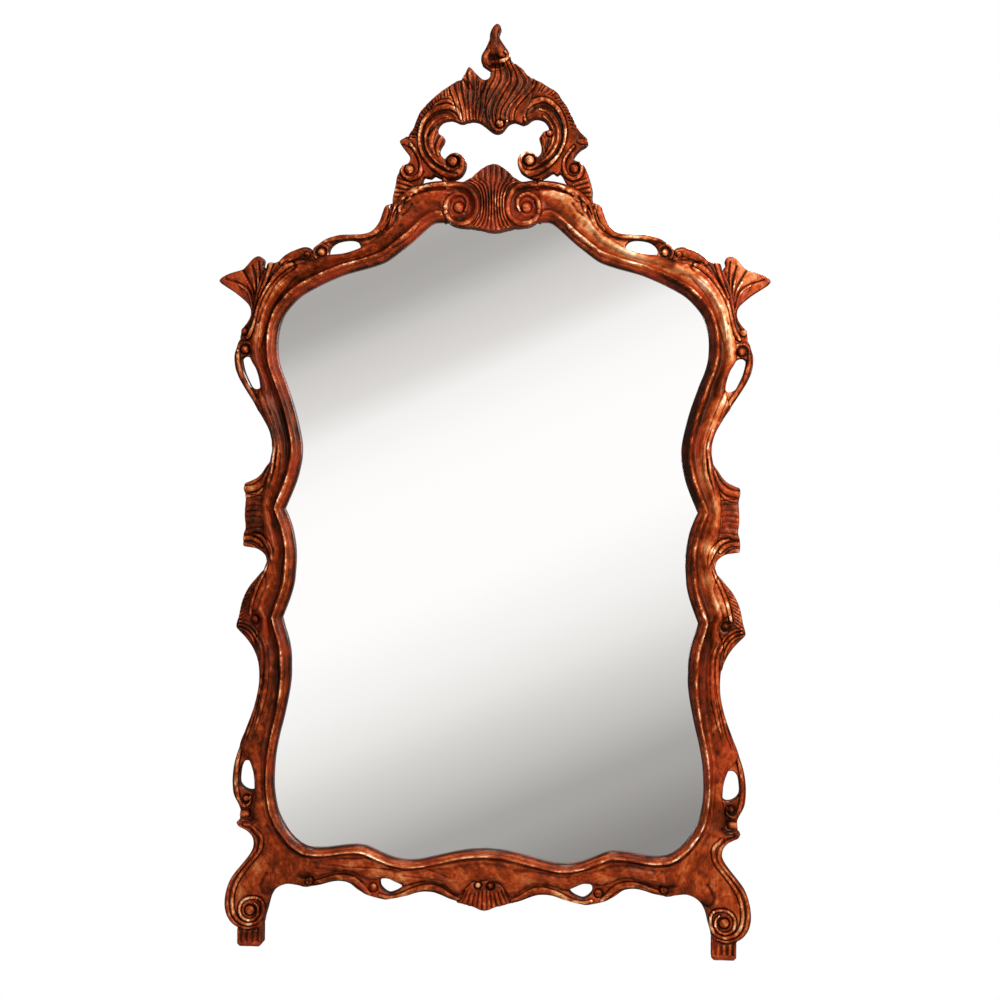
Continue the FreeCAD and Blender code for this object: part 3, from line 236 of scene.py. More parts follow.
rail_names = ["top_rail_left", "stile_left", "foot_left", "bottom_rail"]
widths = station_widths(rail_names)


def nearest_station(x_px, y_px):
    """The left half's station whose glass edge is nearest to a picture place."""
    x, y = picture(*sight_line[:len(sight_line) // 2 + 1].T)
    return int(np.argmin(np.hypot(x - x_px, y - y_px)))


cusp_px = [(284.8, 508), (282.3, 616.5)]
cusps = [nearest_station(*px) for px in cusp_px]
stile_start = nearest_station(290.3, 305.7)
corner_start = nearest_station(286, 826)
bottom_start = nearest_station(314, 847.2)
top_start = nearest_station(445, 222.5)
middle = len(sight_line) // 2

# Rail section, as setback from the glass edge and height over the frame's back
arris_setback = 13.8
low_arris_setback = 9.4        # below the side scrolls the band is narrower and the cove shallower
narrowing_px = (650, 745)
cove_share = 0.36              # of the stretch from the arris to the outer edge
widest_cove = 12.6
low_cove_lift = 6.0
band_heights = [(0, 19.5), (1.5, 22), (5, 26.2), (7.4, 28.4), (8.4, 28.6), (9.4, 30), (12.4, 33.4),
                (arris_setback, 34.4)]
cove_heights = [(0, 34.4), (0.13, 32.2), (0.38, 25.6), (0.7, 22), (1, 22.4)]
swell_heights = [(0, 22.4), (0.13, 24.4), (0.32, 29.2), (0.5, 31.4), (0.68, 31), (0.85, 28.4),
                 (1, 25.2)]
cove_steps = 16
swell_steps = 40
edge_round = 2.4
edge_bead_setback = 5.6        # from the outer edge to the middle of its bead
edge_bead_rise = 5.0
edge_bead_groove = 3.0
groove_setback = 1.6           # from the bead's side to the middle of its groove
groove_half = 1.7
section_steps = 8


def section_curve(points):
    """A smooth run of a rail's section, as rows of setback and height."""
    return refine(np.array(points, float), section_steps)


def arris_at(y_px):
    """Setback of the arris at a picture row: it eases from the upper value to the low one."""
    t = np.clip((y_px - narrowing_px[0]) / (narrowing_px[1] - narrowing_px[0]), 0, 1)
    return arris_setback + (low_arris_setback - arris_setback) * t * t * (3 - 2 * t)


def cove_end(width, arris):
    """Where the cove ends and the swelling starts: a share of what lies beyond the arris."""
    return arris + np.minimum(cove_share * (width - arris), widest_cove) * arris / arris_setback


def rail_height(setback, width, arris):
    """Height of the rail's face: the band, the cove and then the swelling, each its own curve.
    Where the band narrows, a quarter sine wave lifts the cove, and a parabola eases the lift out
    over the swelling."""
    band, cove, swell = (section_curve(p) for p in (band_heights, cove_heights, swell_heights))
    end = cove_end(width, arris)
    in_cove = np.clip((setback - arris) / (end - arris), 0, 1)
    in_swell = (setback - end) / np.maximum(width - end, 1)
    lift = low_cove_lift * (arris_setback - arris) / (arris_setback - low_arris_setback)
    return np.where(
        setback < arris, np.interp(setback * arris_setback / arris, *band.T),
        np.where(setback < end, np.interp(in_cove, *cove.T) + lift * np.sin(np.pi / 2 * in_cove),
                 np.interp(in_swell, *swell.T) + lift * np.clip(1 - 2 * in_swell, 0, 1) ** 2))


def edge_bead(from_edge, amount, half):
    """The bead by the outer edge, a half ellipse across, with a bell-shaped groove inside it."""
    off = (from_edge - edge_bead_setback) / half
    beside = np.exp(-((from_edge - edge_bead_setback - half - groove_setback)
                      / groove_half) ** 2)
    over = np.sqrt(np.clip(1 - off ** 2, 0, 1))
    return amount * (edge_bead_rise * over - edge_bead_groove * beside)


def round_over(distance, radius):
    """How far a rounded edge drops: a quarter circle of this radius, nothing beyond it."""
    inside = np.clip(radius - distance, 0, radius)
    return radius - np.sqrt(radius ** 2 - inside ** 2)


tool_waves = [(0.31, 0.12, 0.4), (-0.17, 0.27, 2.1), (0.09, -0.41, 4.0), (0.47, 0.33, 1.3),
              (-0.38, 0.06, 5.2)]
tool_rise = 0.16


def tool_marks(x, z):
    """The slight waves that a gouge leaves: a sum of sine waves 12 to 25 mm long."""
    return tool_rise * sum(np.sin(a * x + b * z + c) for a, b, c in tool_waves)


def window_sum(values, radius, axis):
    """Sum over a window of this many steps each way, along one axis, by running totals."""
    pad = [(0, 0), (0, 0)]
    pad[axis] = (radius + 1, radius)
    total = np.cumsum(np.pad(values, pad), axis=axis)
    count = values.shape[axis]
    later = np.take(total, np.arange(count) + 2 * radius + 1, axis=axis)
    return later - np.take(total, np.arange(count), axis=axis)


relief_windows = [(2, 1.1), (7, 3.4)]          # grid steps each way, and the height they compare
relief_gain = 0.55


def stand_out(height, known):
    """How far each place stands over its surroundings: its height less the mean height round it,
    taken close by and farther off, as a share from -1 in a hollow to 1 on a ridge."""
    found = 0
    for steps, reach in relief_windows:
        total, count = height * known, known.astype(float)
        for axis in (0, 1):
            total, count = (window_sum(a, steps, axis) for a in (total, count))
        found = found + (height - total / np.maximum(count, 1)) / reach
    return np.clip(found * relief_gain, -1, 1)


# Patina and painted light: listed places where the tone is darker (an amount below 0) or lighter
# (above 0). Below 0 is staining lying thicker and painted shade round the knobs, in moats and in
# hollows such as the finial's; above 0 is staining rubbed thin and painted highlights on knob tops,
# lips, rolls and a streak on the bottom rail. Broad spots darken the crest, the keystone and the
# lower left and lighten the bottom. A spot is a picture place with a reach and an amount, a strip a
# path with half widths and one amount. The right side adds its own: a painted sheen over its rails
# and hollows, and painted shade along its sight edge.
patina_and_painted_light_px = [
    (253, 500, 9, -0.4), (253, 514, 11, -0.5), (252, 529, 9, -0.4), (250, 486, 6, 0.3),
    (252, 540, 7, -0.35), (269.4, 544, 3.4, 1.1), (262, 507, 4, -0.4), (263, 525, 4, -0.3),
    (243, 600, 6, -0.4), (247, 585, 6, -0.4), (243, 624, 7, -0.8), (256, 619, 9, -0.7),
    (255, 596, 4, 0.4), (246, 350, 9, -0.5), (245.4, 349, 3, 1.1), (321.4, 252, 3, 1.1),
    (240, 372, 8, -0.25), (246, 392, 8, -0.3), (251, 322, 7, -0.7), (247, 338, 6, -0.6),
    (229, 281, 6, 0.3), (246, 264, 6, 0.25), (252, 300, 6, -0.4), (240, 278, 12, 0.5),
    (257, 264, 6, 0.4), (300, 256, 8, -0.3), (315, 261, 8, -0.9), (318, 249, 8, -0.6),
    (290, 268, 6, 0.35), (299, 270, 6, 0.1), (336, 239, 7, -0.3), (368, 240, 7, -0.3),
    (390, 228, 6, 0.3), (388, 208, 5, 0.3), (396, 213, 6, -0.4), (404, 205, 6, -0.3),
    (420, 205, 12, 0.15), (372, 250, 14, 0.15), (262.5, 398, 5, 0.5), (269, 420, 5, 0.6),
    (276, 450, 6, 0.4), (258, 386, 5, 0.4), (273, 462, 4, 0.5), (270, 486, 6, -0.4),
    (266, 478, 5, -0.3), (270, 515, 8, 0.35), (276, 540, 7, 0.3), (272, 575, 8, 0.25),
    (266, 600, 7, 0.3), (275, 630, 8, -0.25), (258, 648, 6, -0.35), (262, 690, 8, 0.25),
    (250, 735, 8, -0.2), (256, 760, 6, -0.3), (247, 800, 9, -1.0), (253, 812, 7, -0.6),
    (245, 813, 3, 0.9), (246, 822, 5, -0.5), (262, 832, 5, 0.5), (257, 870, 14, 0.3),
    (243, 890, 12, 0.35), (236, 905, 8, 0.2), (266, 893, 9, -0.7), (277, 889, 8, -0.55),
    (253, 908, 9, -0.3), (251, 921, 7, 0.4), (275, 860, 12, -0.1), (310, 879, 7, -0.6),
    (292, 882, 6, -0.3), (334, 875, 7, -0.5), (347, 873, 7, -0.5), (361, 879, 6, -0.2),
    (372, 887, 7, -0.7), (398, 892, 7, -0.5), (420, 885, 8, -0.4), (440, 887, 8, -0.4),
    (405, 872, 12, 0.4), (350, 862, 12, 0.3), (376, 851, 9, 0.5), (478.4, 883.6, 6, -0.6),
    (491.2, 884, 6, -0.6), (470, 897, 7, 0.5), (485, 901, 7, 0.4), (500, 897, 7, 0.5),
    (252, 932, 12, -0.35), (252, 941, 6, 0.2), (430, 143, 6, 0.5), (426, 125, 6, 0.2),
    (446, 173, 9, -0.3), (412, 122, 8, -0.6), (409, 134, 7, -0.6), (421, 106, 8, -0.3),
    (545, 165, 10, -0.4), (558, 150, 8, -0.3), (572, 118, 8, -0.7), (577, 131, 7, -0.5),
    (566, 104, 7, -0.5), (553, 92, 8, -0.2), (403, 176, 8, -0.3), (414, 168, 6, 0.1),
    (577, 160, 8, -0.4), (585, 185, 8, -0.4), (398, 190, 7, 0.1), (458, 98, 9, 0.5),
    (462, 115, 8, 0.6), (469, 74, 6, 0.6), (450, 92, 7, 0.35), (490, 95, 8, 0.2),
    (512, 95, 9, 0.1), (525, 104, 7, 0.3), (494, 57.4, 3.4, -1.3), (496, 42, 7, -0.5),
    (502, 60.6, 3, 1.3), (485, 59, 3, 0.7), (504, 52, 3, 0.4), (490, 120, 66, -0.45),
    (492, 200, 30, -0.7), (262, 660, 60, -0.45), (262, 286, 30, -0.25), (276, 420, 50, -0.4),
    (255, 885, 40, 0.2), (400, 870, 60, 0.35), (560, 870, 60, 0.35), (466, 205, 6, -0.3),
    (452, 207, 5, -0.4), (520, 205, 6, -0.2), (532, 207, 5, -0.4), (474, 196, 7, 0.3),
    (441, 160, 6, 0.2), (452, 161, 5, 0.3), (527.6, 159, 5, 0.3)]
# painted highlight: a pale strip down the swelling beside the corner's cord
left_painted_highlight_strips_px = [
    ([(283, 281, 4), (271, 292.4, 4), (263.6, 309, 4), (259.6, 328, 4), (254, 346, 4)], 0.75)]
# painted sheen: the right side's rails and corner made paler, as a light from the right would
right_painted_sheen_px = [
    (620, 235, 50, 0.3), (690, 265, 36, 0.2), (728, 345, 44, 0.2), (722, 520, 60, 0.15),
    (738, 610, 50, 0.3), (722, 700, 70, 0.1), (738, 775, 40, 0.3), (570, 870, 60, 0.3),
    (735, 272, 10, 0.3)]
right_painted_sheen_and_shade_strips_px = [            # painted sheen over the hollows, painted shade along the sight edge
    ([(545, 193, 4), (560, 198, 6), (576, 210, 7), (588, 230, 7), (604, 243, 7), (622, 251, 7),
     (646, 261, 6), (668, 268, 5), (681, 270, 6), (701, 286, 7), (714, 301, 7), (723, 318, 7),
     (726, 338, 7), (728, 359, 5)], 1.15),
    ([(732, 386, 5), (724, 398, 7), (714, 410, 8), (705, 432, 8), (702, 450, 8), (702, 474, 8),
     (711, 494, 8), (716, 510, 6)], 1.1),
    ([(706, 536, 5), (703, 556, 6), (704, 576, 7), (712, 594, 7), (721, 608, 5)], 0.8),
    ([(697, 522, 3.5), (691, 538, 4), (689.5, 556, 4), (691, 578, 4), (696, 604, 3.5)], -0.6),
    ([(660, 275, 3.5), (677, 284, 3.5), (692, 296, 3.5), (704, 311, 4), (710, 326, 4),
     (712, 340, 4), (709, 354, 4), (701, 382, 4), (691, 411, 4), (684, 450, 4), (685, 466, 4),
     (690, 486, 4), (697, 504, 3)], -1.3)]
strip_reach_px = 160           # a strip counts only this near to its middle


def patina_and_painted_light(x, y, spots, strips):
    """The tone at picture places, staining and painted light together: a sum of bell curves round
    the spots and across the strips."""
    tone = np.zeros(x.shape)
    for path, amount in strips:
        path = refine(np.array(path, float), path_steps)
        near = np.hypot(x - path[:, 0].mean(), y - path[:, 1].mean()) < strip_reach_px
        if near.any():
            away, half = nearest_on(x[near], y[near], path)
            tone[near] += amount * np.exp(-(away / half) ** 2)
    for spot_x, spot_y, reach, amount in spots:
        tone += amount * np.exp(-((x - spot_x) ** 2 + (y - spot_y) ** 2) / reach ** 2)
    return tone


sharp_angle = math.radians(52)


def make_piece(node, places, faces, kinds, relief, materials, mirrored=False):
    """A closed mesh in place of a node. Its volume, summed over its faces, tells which way they
    face. Relief and tone (staining, painted light and painted shade) are kept on the points; each
    face's kind picks its material: 0 the face, 1 the back, 2 the sawn edges."""
    tone = patina_and_painted_light(*picture(places[:, 0], places[:, 2]), patina_and_painted_light_px, left_painted_highlight_strips_px)
    # painted light: the right side adds its painted sheen, and painted shade along its sight edge
    if mirrored:
        places = places * [-1, 1, 1]
        tone = tone + patina_and_painted_light(*picture(places[:, 0], places[:, 2]), right_painted_sheen_px,
                             right_painted_sheen_and_shade_strips_px)
    volume = 0
    for group in faces:
        for k in range(1, group.shape[1] - 1):
            a, b, c = places[group[:, 0]], places[group[:, k]], places[group[:, k + 1]]
            volume += np.sum(a * np.cross(b, c))
    if volume < 0:
        faces = [group[:, ::-1] for group in faces]
    name = "carved_" + node
    mesh = bpy.data.meshes.new(name)
    corners = np.concatenate([group.ravel() for group in faces]).astype(np.int32)
    sizes = np.concatenate([np.full(len(group), group.shape[1]) for group in faces])
    mesh.vertices.add(len(places))
    mesh.vertices.foreach_set("co", (places * mm).astype(np.float32).ravel())
    mesh.loops.add(len(corners))
    mesh.loops.foreach_set("vertex_index", corners)
    mesh.polygons.add(len(sizes))
    mesh.polygons.foreach_set("loop_start", (np.cumsum(sizes) - sizes).astype(np.int32))
    mesh.polygons.foreach_set("material_index", np.concatenate(kinds).astype(np.int32))
    mesh.update(calc_edges=True)
    mesh.polygons.foreach_set("use_smooth", np.ones(len(sizes), bool))
    mesh.set_sharp_from_angle(angle=sharp_angle)
    for key, values in (("relief", relief), ("tone", tone)):
        mesh.attributes.new(key, "FLOAT", "POINT").data.foreach_set(
            "value", values.astype(np.float32))
    for material in materials:
        mesh.materials.append(material)
    piece = bpy.data.objects.new(name, mesh)
    bpy.context.scene.collection.objects.link(piece)
    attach(piece, "frame")
    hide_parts(node)


def linear(code):
    """An sRGB hex colour as the linear colour that the shaders use."""
    parts = [int(code[k:k + 2], 16) / 255 for k in (1, 3, 5)]
    return tuple(c / 12.92 if c < 0.04045 else ((c + 0.055) / 1.055) ** 2.4
                 for c in parts) + (1.0,)


def feed(node, inputs):
    """Give a node's inputs, by name or number, another node's output, a number, a row of numbers
    or a hex colour."""
    for socket, value in inputs.items():
        if isinstance(value, bpy.types.NodeSocket):
            node.id_data.links.new(value, node.inputs[socket])
        else:
            node.inputs[socket].default_value = linear(value) if isinstance(value, str) else value


def add(tree, kind, inputs=None, output=0, stops=(), **settings):
    """Add one shader node, with its settings and inputs, and give back one of its outputs. Stops
    are the (place, hex colour) marks of a colour ramp."""
    node = tree.nodes.new("ShaderNode" + kind)
    for key, value in settings.items():
        setattr(node, key, value)
    feed(node, inputs or {})
    while stops and len(node.color_ramp.elements) < len(stops):
        node.color_ramp.elements.new(0.5)
    for number, (share, code) in enumerate(stops):
        node.color_ramp.elements[number].position = share
        node.color_ramp.elements[number].color = linear(code)
    return node.outputs[output]


def new_material(name):
    """An empty node material: itself, its tree, and the shader that feeds its output."""
    material = bpy.data.materials.new(name)
    material.use_nodes = True
    tree = material.node_tree
    tree.nodes.clear()
    shader = tree.nodes.new("ShaderNodeBsdfPrincipled")
    feed(tree.nodes.new("ShaderNodeOutputMaterial"), {"Surface": shader.outputs[0]})
    return material, tree, shader


def patch_scale(size_mm):
    """The scale of a noise whose patches are about this many millimetres across."""
    return 1 / (size_mm * mm)


def squeezed(axis, share):
    """The scale that squeezes places along one axis, so that a pattern is drawn out along it."""
    return [share if k == axis else 1.0 for k in range(3)]


# Walnut stained red-brown, then waxed and rubbed: one tone runs from near black in the hollows
# through ox-blood and red-brown to orange, and to tan on the ridges. The near black of the hollows
# is wax left in them and painted shade; the tan of the ridges is staining rubbed off and painted
# highlight.
cloud_mm = 30.0
blotch_mm = 8.0
streak_mm = 2.6
fleck_mm = 1.5
grain_stretch = 0.12
cloud_stretch = 0.7
middle_tone = -0.40            # the noises, the wear with its painted highlights, the hollows' painted shade and the listed tone are added to this
walnut_stops = [
    (0.0, "#160501"), (0.16, "#300D03"), (0.3, "#4E1805"), (0.42, "#6C270B"),
    (0.54, "#7C4121"), (0.66, "#90603C"), (0.8, "#AA866A"), (1.0, "#CFBDA8")]


def polished_walnut(name, grain_axis):
    """The finished face of the wood, its grain along one axis."""
    material, tree, shader = new_material(name)
    spot = add(tree, "TexCoord", output="Object")
    along, slow = (add(tree, "Mapping", {"Vector": spot, "Scale": squeezed(grain_axis, share)})
                   for share in (grain_stretch, cloud_stretch))
    clouds = add(tree, "TexNoise", {
        "Vector": slow, "Scale": patch_scale(cloud_mm), "Detail": 5.0, "Roughness": 0.62,
        "Distortion": 0.8})
    blotches = add(tree, "TexNoise", {
        "Vector": slow, "Scale": patch_scale(blotch_mm), "Detail": 4.0, "Roughness": 0.65,
        "Distortion": 1.0})
    streaks = add(tree, "TexNoise", {
        "Vector": along, "Scale": patch_scale(streak_mm), "Detail": 4.0, "Roughness": 0.6})
    flecks = add(tree, "TexNoise", {
        "Vector": along, "Scale": patch_scale(fleck_mm), "Detail": 2.0, "Roughness": 0.5})
    redness = add(tree, "TexNoise", {
        "Vector": spot, "Scale": patch_scale(2 * cloud_mm), "Detail": 2.0, "Roughness": 0.5})
    relief = add(tree, "Attribute", output="Fac", attribute_name="relief")
    # the listed tone: staining, painted shade and painted highlights
    stain_and_painted_light = add(tree, "Attribute", output="Fac", attribute_name="tone")
    # painted highlight: the ridges lighter, for rubbed wear and for light catching them
    wear_and_highlight = add(tree, "MapRange", {0: relief, 1: 0.15, 2: 0.95})
    for patches, low, high in ((blotches, 0.36, 0.6), (clouds, 0.4, 0.6)):
        left = add(tree, "MapRange", {0: patches, 1: low, 2: high, 3: 0.25, 4: 1.0})
        wear_and_highlight = add(tree, "Math", {0: wear_and_highlight, 1: left}, operation="MULTIPLY")
    # painted shade: the hollows darker, for wax left in them and for the shade in them
    hollow = add(tree, "MapRange", {0: relief, 1: 0.0, 2: -0.8})
    tone = middle_tone
    for source, weight in ((clouds, 0.8), (blotches, 0.5), (streaks, 0.14), (wear_and_highlight, 0.6),
                           (hollow, -0.52), (stain_and_painted_light, 0.24)):
        tone = add(tree, "Math", {0: source, 1: weight, 2: tone}, operation="MULTIPLY_ADD")
    colour = add(tree, "ValToRGB", {0: tone}, stops=walnut_stops)
    for source, low, high, most, tint in ((redness, 0.52, 0.64, 0.3, "#74200E"),
                                          (flecks, 0.4, 0.3, 0.5, "#240D06")):
        share = add(tree, "MapRange", {0: source, 1: low, 2: high, 4: most})
        colour = add(tree, "Mix", {0: share, 6: colour, 7: tint}, output=2, data_type="RGBA")
    feed(shader, {
        "Base Color": colour, "Specular IOR Level": 0.07, "Specular Tint": "#FFDDBB",
        "Roughness": add(tree, "MapRange", {0: blotches, 1: 0.3, 2: 0.7, 3: 0.28, 4: 0.42}),
        "Coat Weight": 0.015, "Coat Roughness": 0.18,
        "Normal": add(tree, "Bump", {"Strength": 0.08, "Distance": 0.0006, "Height": streaks})})
    return material


# The back of the same wood: sawn and planed, never stained, grey-brown with age and dust. The
# unseen plywood and pine behind the glass are finished no better, so they share its function.
def bare_timber(name, axis, grain_mm, ripple, stops, dust, roughness, bump):
    """Unfinished timber: a noise drawn out along one axis gives its colours, under patches of
    dust, given as their size, the stretch of noise they take up, their most and their colour."""
    material, tree, shader = new_material(name)
    spot = add(tree, "TexCoord", output="Object")
    along = add(tree, "Mapping", {"Vector": spot, "Scale": squeezed(axis, grain_stretch)})
    grain = add(tree, "TexNoise", {
        "Vector": along, "Scale": patch_scale(grain_mm), "Detail": 4.0, "Roughness": 0.6,
        "Distortion": ripple})
    dust_mm, low, high, most, dust_colour = dust
    patches = add(tree, "TexNoise", {
        "Vector": spot, "Scale": patch_scale(dust_mm), "Detail": 3.0, "Roughness": 0.6})
    share = add(tree, "MapRange", {0: patches, 1: low, 2: high, 4: most})
    colour = add(tree, "ValToRGB", {0: grain}, stops=stops)
    colour = add(tree, "Mix", {0: share, 6: colour, 7: dust_colour}, output=2, data_type="RGBA")
    strength, distance = bump
    feed(shader, {
        "Base Color": colour, "Roughness": roughness,
        "Normal": add(tree, "Bump", {"Strength": strength, "Distance": distance,
                                     "Height": grain})})
    return material


raw_wood = bare_timber(
    "bare_walnut", 2, 3.2, 0.0, [(0.34, "#4A3222"), (0.5, "#6B4B33"), (0.66, "#876349")],
    (60.0, 0.45, 0.62, 0.4, "#4C3526"), 0.72, (0.4, 0.0005))
upright_wood = polished_walnut("waxed_walnut_upright", 2)
level_wood = polished_walnut("waxed_walnut_level", 0)

# Sawn edges: the sides of the pieces and of their piercings, stained almost black and left
# unpolished, so they stay matt and dark from any side. The dark is also painted shade, for the
# shade in the piercings and on the steps between pieces.
sawn_edge, tree, shader = new_material("stained_shaded_sawn_edge")
stains = add(tree, "TexNoise", {
    "Vector": add(tree, "TexCoord", output="Object"), "Scale": patch_scale(9.0), "Detail": 4.0,
    "Roughness": 0.6})
feed(shader, {
    "Base Color": add(tree, "ValToRGB", {0: stains}, stops=[(0.36, "#1E0C07"), (0.6, "#472011")]),
    "Roughness": 0.8, "Specular IOR Level": 0.03})
upright_finish = [upright_wood, raw_wood, sawn_edge]
level_finish = [level_wood, raw_wood, sawn_edge]

station_steps = 5
band_step = 0.065              # of the band's width
wall_relief = -0.9             # the walls are left dark towards the back
marks_reach = 6.0              # the tool marks come in over this much of the swelling
least_marks = 0.1


def rail_rows(first, last):
    """Sight place, way out and width at fine steps between two stations, sharp at the cusps."""
    table = np.column_stack([sight_line, outward, widths])
    table = np.vstack([table, table[:1]])
    ends = [first] + [c for c in cusps if first < c < last] + [last]
    runs = []
    for a, b in zip(ends, ends[1:]):
        kept = [i for i in range(a, b + 1) if not any(abs(i - c) == 1 for c in cusps)]
        runs.append(refine(table[kept], station_steps)[:-1])
    return np.vstack(runs + [table[last:last + 1]])


def carve_rail(node, first, last, bead_shares, finish, both=True):
    """A rail between two stations: its section carried along the glass edge, closed by its back
    with the rebate and by its two ends."""
    rows = rail_rows(first, last)
    sight, way, width = rows[:, :2], rows[:, 2:4], rows[:, 4]
    arris = arris_at(picture(*sight.T)[1])[:, None]
    end = cove_end(width[:, None], arris)
    setback = np.hstack([
        np.arange(0, 1 - band_step / 2, band_step) * arris,
        arris + np.linspace(0, 1, cove_steps, endpoint=False) * (end - arris),
        end + np.linspace(0, 1, swell_steps) * (width[:, None] - end)])
    from_edge = width[:, None] - setback
    height = rail_height(setback, width[:, None], arris)
    amount, half = (np.interp(np.linspace(0, 1, len(rows)), bead_shares[0], values)[:, None]
                    for values in bead_shares[1:])
    height = height + edge_bead(from_edge, amount, half)
    places = sight[:, None] + setback[..., None] * way[:, None]
    x, z = places[..., 0], places[..., 1]
    height = height + tool_marks(x, z) * np.clip((setback - end) / marks_reach, least_marks, 1)
    height = rail_touches(node, *picture(x, z), height)
    height = height - round_over(from_edge, edge_round)
    relief = stand_out(height, np.ones_like(height, bool))
    back = [(width, 0, wall_relief), (rebate_width, 0, wall_relief),
            (rebate_width, rebate_depth, wall_relief), (0, rebate_depth, 0)]
    for reach, high, shade in back:
        spot = sight + (reach + 0 * width)[:, None] * way
        x, z = np.column_stack([x, spot[:, 0]]), np.column_stack([z, spot[:, 1]])
        height = np.column_stack([height, high + 0 * width])
        relief = np.column_stack([relief, shade + 0 * width])
    count, columns = x.shape
    index = np.arange(count * columns).reshape(count, columns)
    onward = np.roll(index, -1, axis=1)
    quads = np.stack([index[:-1], onward[:-1], onward[1:], index[1:]], axis=-1)
    kinds = np.zeros(columns, int)
    kinds[-4:-1] = 1
    kinds[-5] = 2
    faces = [quads.reshape(-1, 4), np.stack([index[0][::-1], index[-1]])]
    places = np.column_stack([x.ravel(), (-back_gap - height).ravel(), z.ravel()])
    flags = [np.tile(kinds, count - 1), np.ones(2, int)]
    make_piece(node, places, faces, flags, relief.ravel(), finish)
    if both:
        other = node.replace("_left", "_right")
        make_piece(other, places, faces, flags, relief.ravel(), finish, mirrored=True)


def nearest_on(x, y, path):
    """Distance from each place to a path of (x, y, half width) rows, and the half width there."""
    least, half = np.full(x.shape, np.inf), np.ones(x.shape)
    for (ax, ay, ah), (bx, by, bh) in zip(path[:-1], path[1:]):
        run = (bx - ax) ** 2 + (by - ay) ** 2 + 1e-9
        t = np.clip(((x - ax) * (bx - ax) + (y - ay) * (by - ay)) / run, 0, 1)
        away = np.hypot(x - ax - t * (bx - ax), y - ay - t * (by - ay))
        nearer = away < least
        least = np.where(nearer, away, least)
        half = np.where(nearer, ah + t * (bh - ah), half)
    return least, half


path_steps = 3
full_share = 0.6               # a bead thinner than this share of its widest is lower too


def bead(x, y, height, path_px, rise, moat=1.0, moat_px=1.2):
    """Raise a half-round bead along a path over the surface, with a narrow moat beside it. The
    bead is a half ellipse across the path, lower where it thins out; the moat fades out as a bell
    curve."""
    path = refine(np.array(path_px, float), path_steps)
    away, half = nearest_on(x, y, path)
    share = np.minimum(half / path[:, 2].max() / full_share, 1) ** 2
    rise, moat = rise * share, moat * share
    over = np.sqrt(np.clip(1 - (away / half) ** 2, 0, 1))
    beside = np.exp(-(np.maximum(away - half, 0) / moat_px) ** 2)
    return np.where(away < half, height - moat * (1 - over) + rise * over, height - moat * beside)


def knob(x, y, height, place_px, rise, moat=2.4, moat_px=1.8):
    """Raise a round knob, a flattened dome with a moat round it."""
    cx, cy, radius = place_px
    away = np.hypot(x - cx, y - cy)
    over = np.sqrt(np.clip(1 - (away / radius) ** 2, 0, 1))
    beside = np.exp(-(np.maximum(away - radius, 0) / moat_px) ** 2)
    return np.where(away < radius, height - moat * (1 - over) + rise * over, height - moat * beside)


def ease(value, low, high):
    """A smooth step from 0 at low to 1 at high."""
    t = np.clip((value - low) / (high - low), 0, 1)
    return t * t * (3 - 2 * t)


def groove(x, y, height, path_px, depth):
    """Cut a soft groove along a path: a bell curve across it, as wide as the path's half width."""
    away, half = nearest_on(x, y, refine(np.array(path_px, float), path_steps))
    return height - depth * np.exp(-(away / half) ** 2)


def press(x, y, height, strokes):
    """Work strokes into a face in turn. Each is a tool, its path as picture places with half
    widths, and the tool's own sizes in the order in which it takes them."""
    for tool, path_px, *sizes in strokes:
        height = tool(x, y, height, path_px, *sizes)
    return height


volute_level = 28
volute_disc_px = (459, 205.6)
volute_disc_reach_px = (15.5, 21)              # all disc up to the first, none from the second on
volute_dish_px = (458, 206.5)
volute_dish_reach_px = 14
volute_dish_depth = 4.4
volute_strokes = [
    (groove, [(419, 192.8, 1.4), (430.5, 189.8, 1.8), (446, 189.8, 2.3), (458, 190.2, 2.7),
     (467.4, 195.6, 2.7), (470.6, 204.6, 2.5), (468.8, 213, 2.5), (461.6, 218.6, 2.3),
     (453, 217.6, 1.8)], 4.2),
    (groove, [(449.6, 202.6, 1.3), (449.2, 208.6, 1.8), (452.8, 214.4, 2.1), (459, 216.4, 2.1),
     (464.6, 213.6, 1.6)], 2.4),
    (bead, [(420, 188.6, 1), (430, 186.4, 1.9), (442, 185.2, 2.3), (456, 185.4, 2.4),
     (465.4, 187.4, 2.5), (472.8, 193.6, 2.6), (476.2, 204.6, 2.7), (475, 215, 2.7),
     (468, 222, 2.7), (457.8, 223.8, 2.6), (449, 219.6, 2.4), (445.2, 212.4, 2.2)], 4.0, 1.2, 1.4),
    (bead, [(445.2, 212.4, 2.2), (445.4, 204.4, 2.1), (449.2, 198, 2.1), (455.6, 194.4, 2.1),
     (461.8, 195.2, 2), (465.8, 199.4, 1.9), (466.6, 205.4, 1.8), (464.4, 210.8, 1.4)], 4.4, 1.2,
     1.4),
    (knob, (457.8, 207.6, 5), 5.2, 3.2, 1.6)]


def volute_form(x, y, height):
    """The top volute: a dished disc, its rim rolling in from the rail's bead to a round eye."""
    from_disc = np.hypot(x - volute_disc_px[0], y - volute_disc_px[1])
    from_dish = np.hypot(x - volute_dish_px[0], y - volute_dish_px[1])
    disc = 1 - ease(from_disc, *volute_disc_reach_px)
    dish = volute_level - volute_dish_depth * np.exp(-(from_dish / volute_dish_reach_px) ** 4)
    return press(x, y, height + disc * (dish - height), volute_strokes)


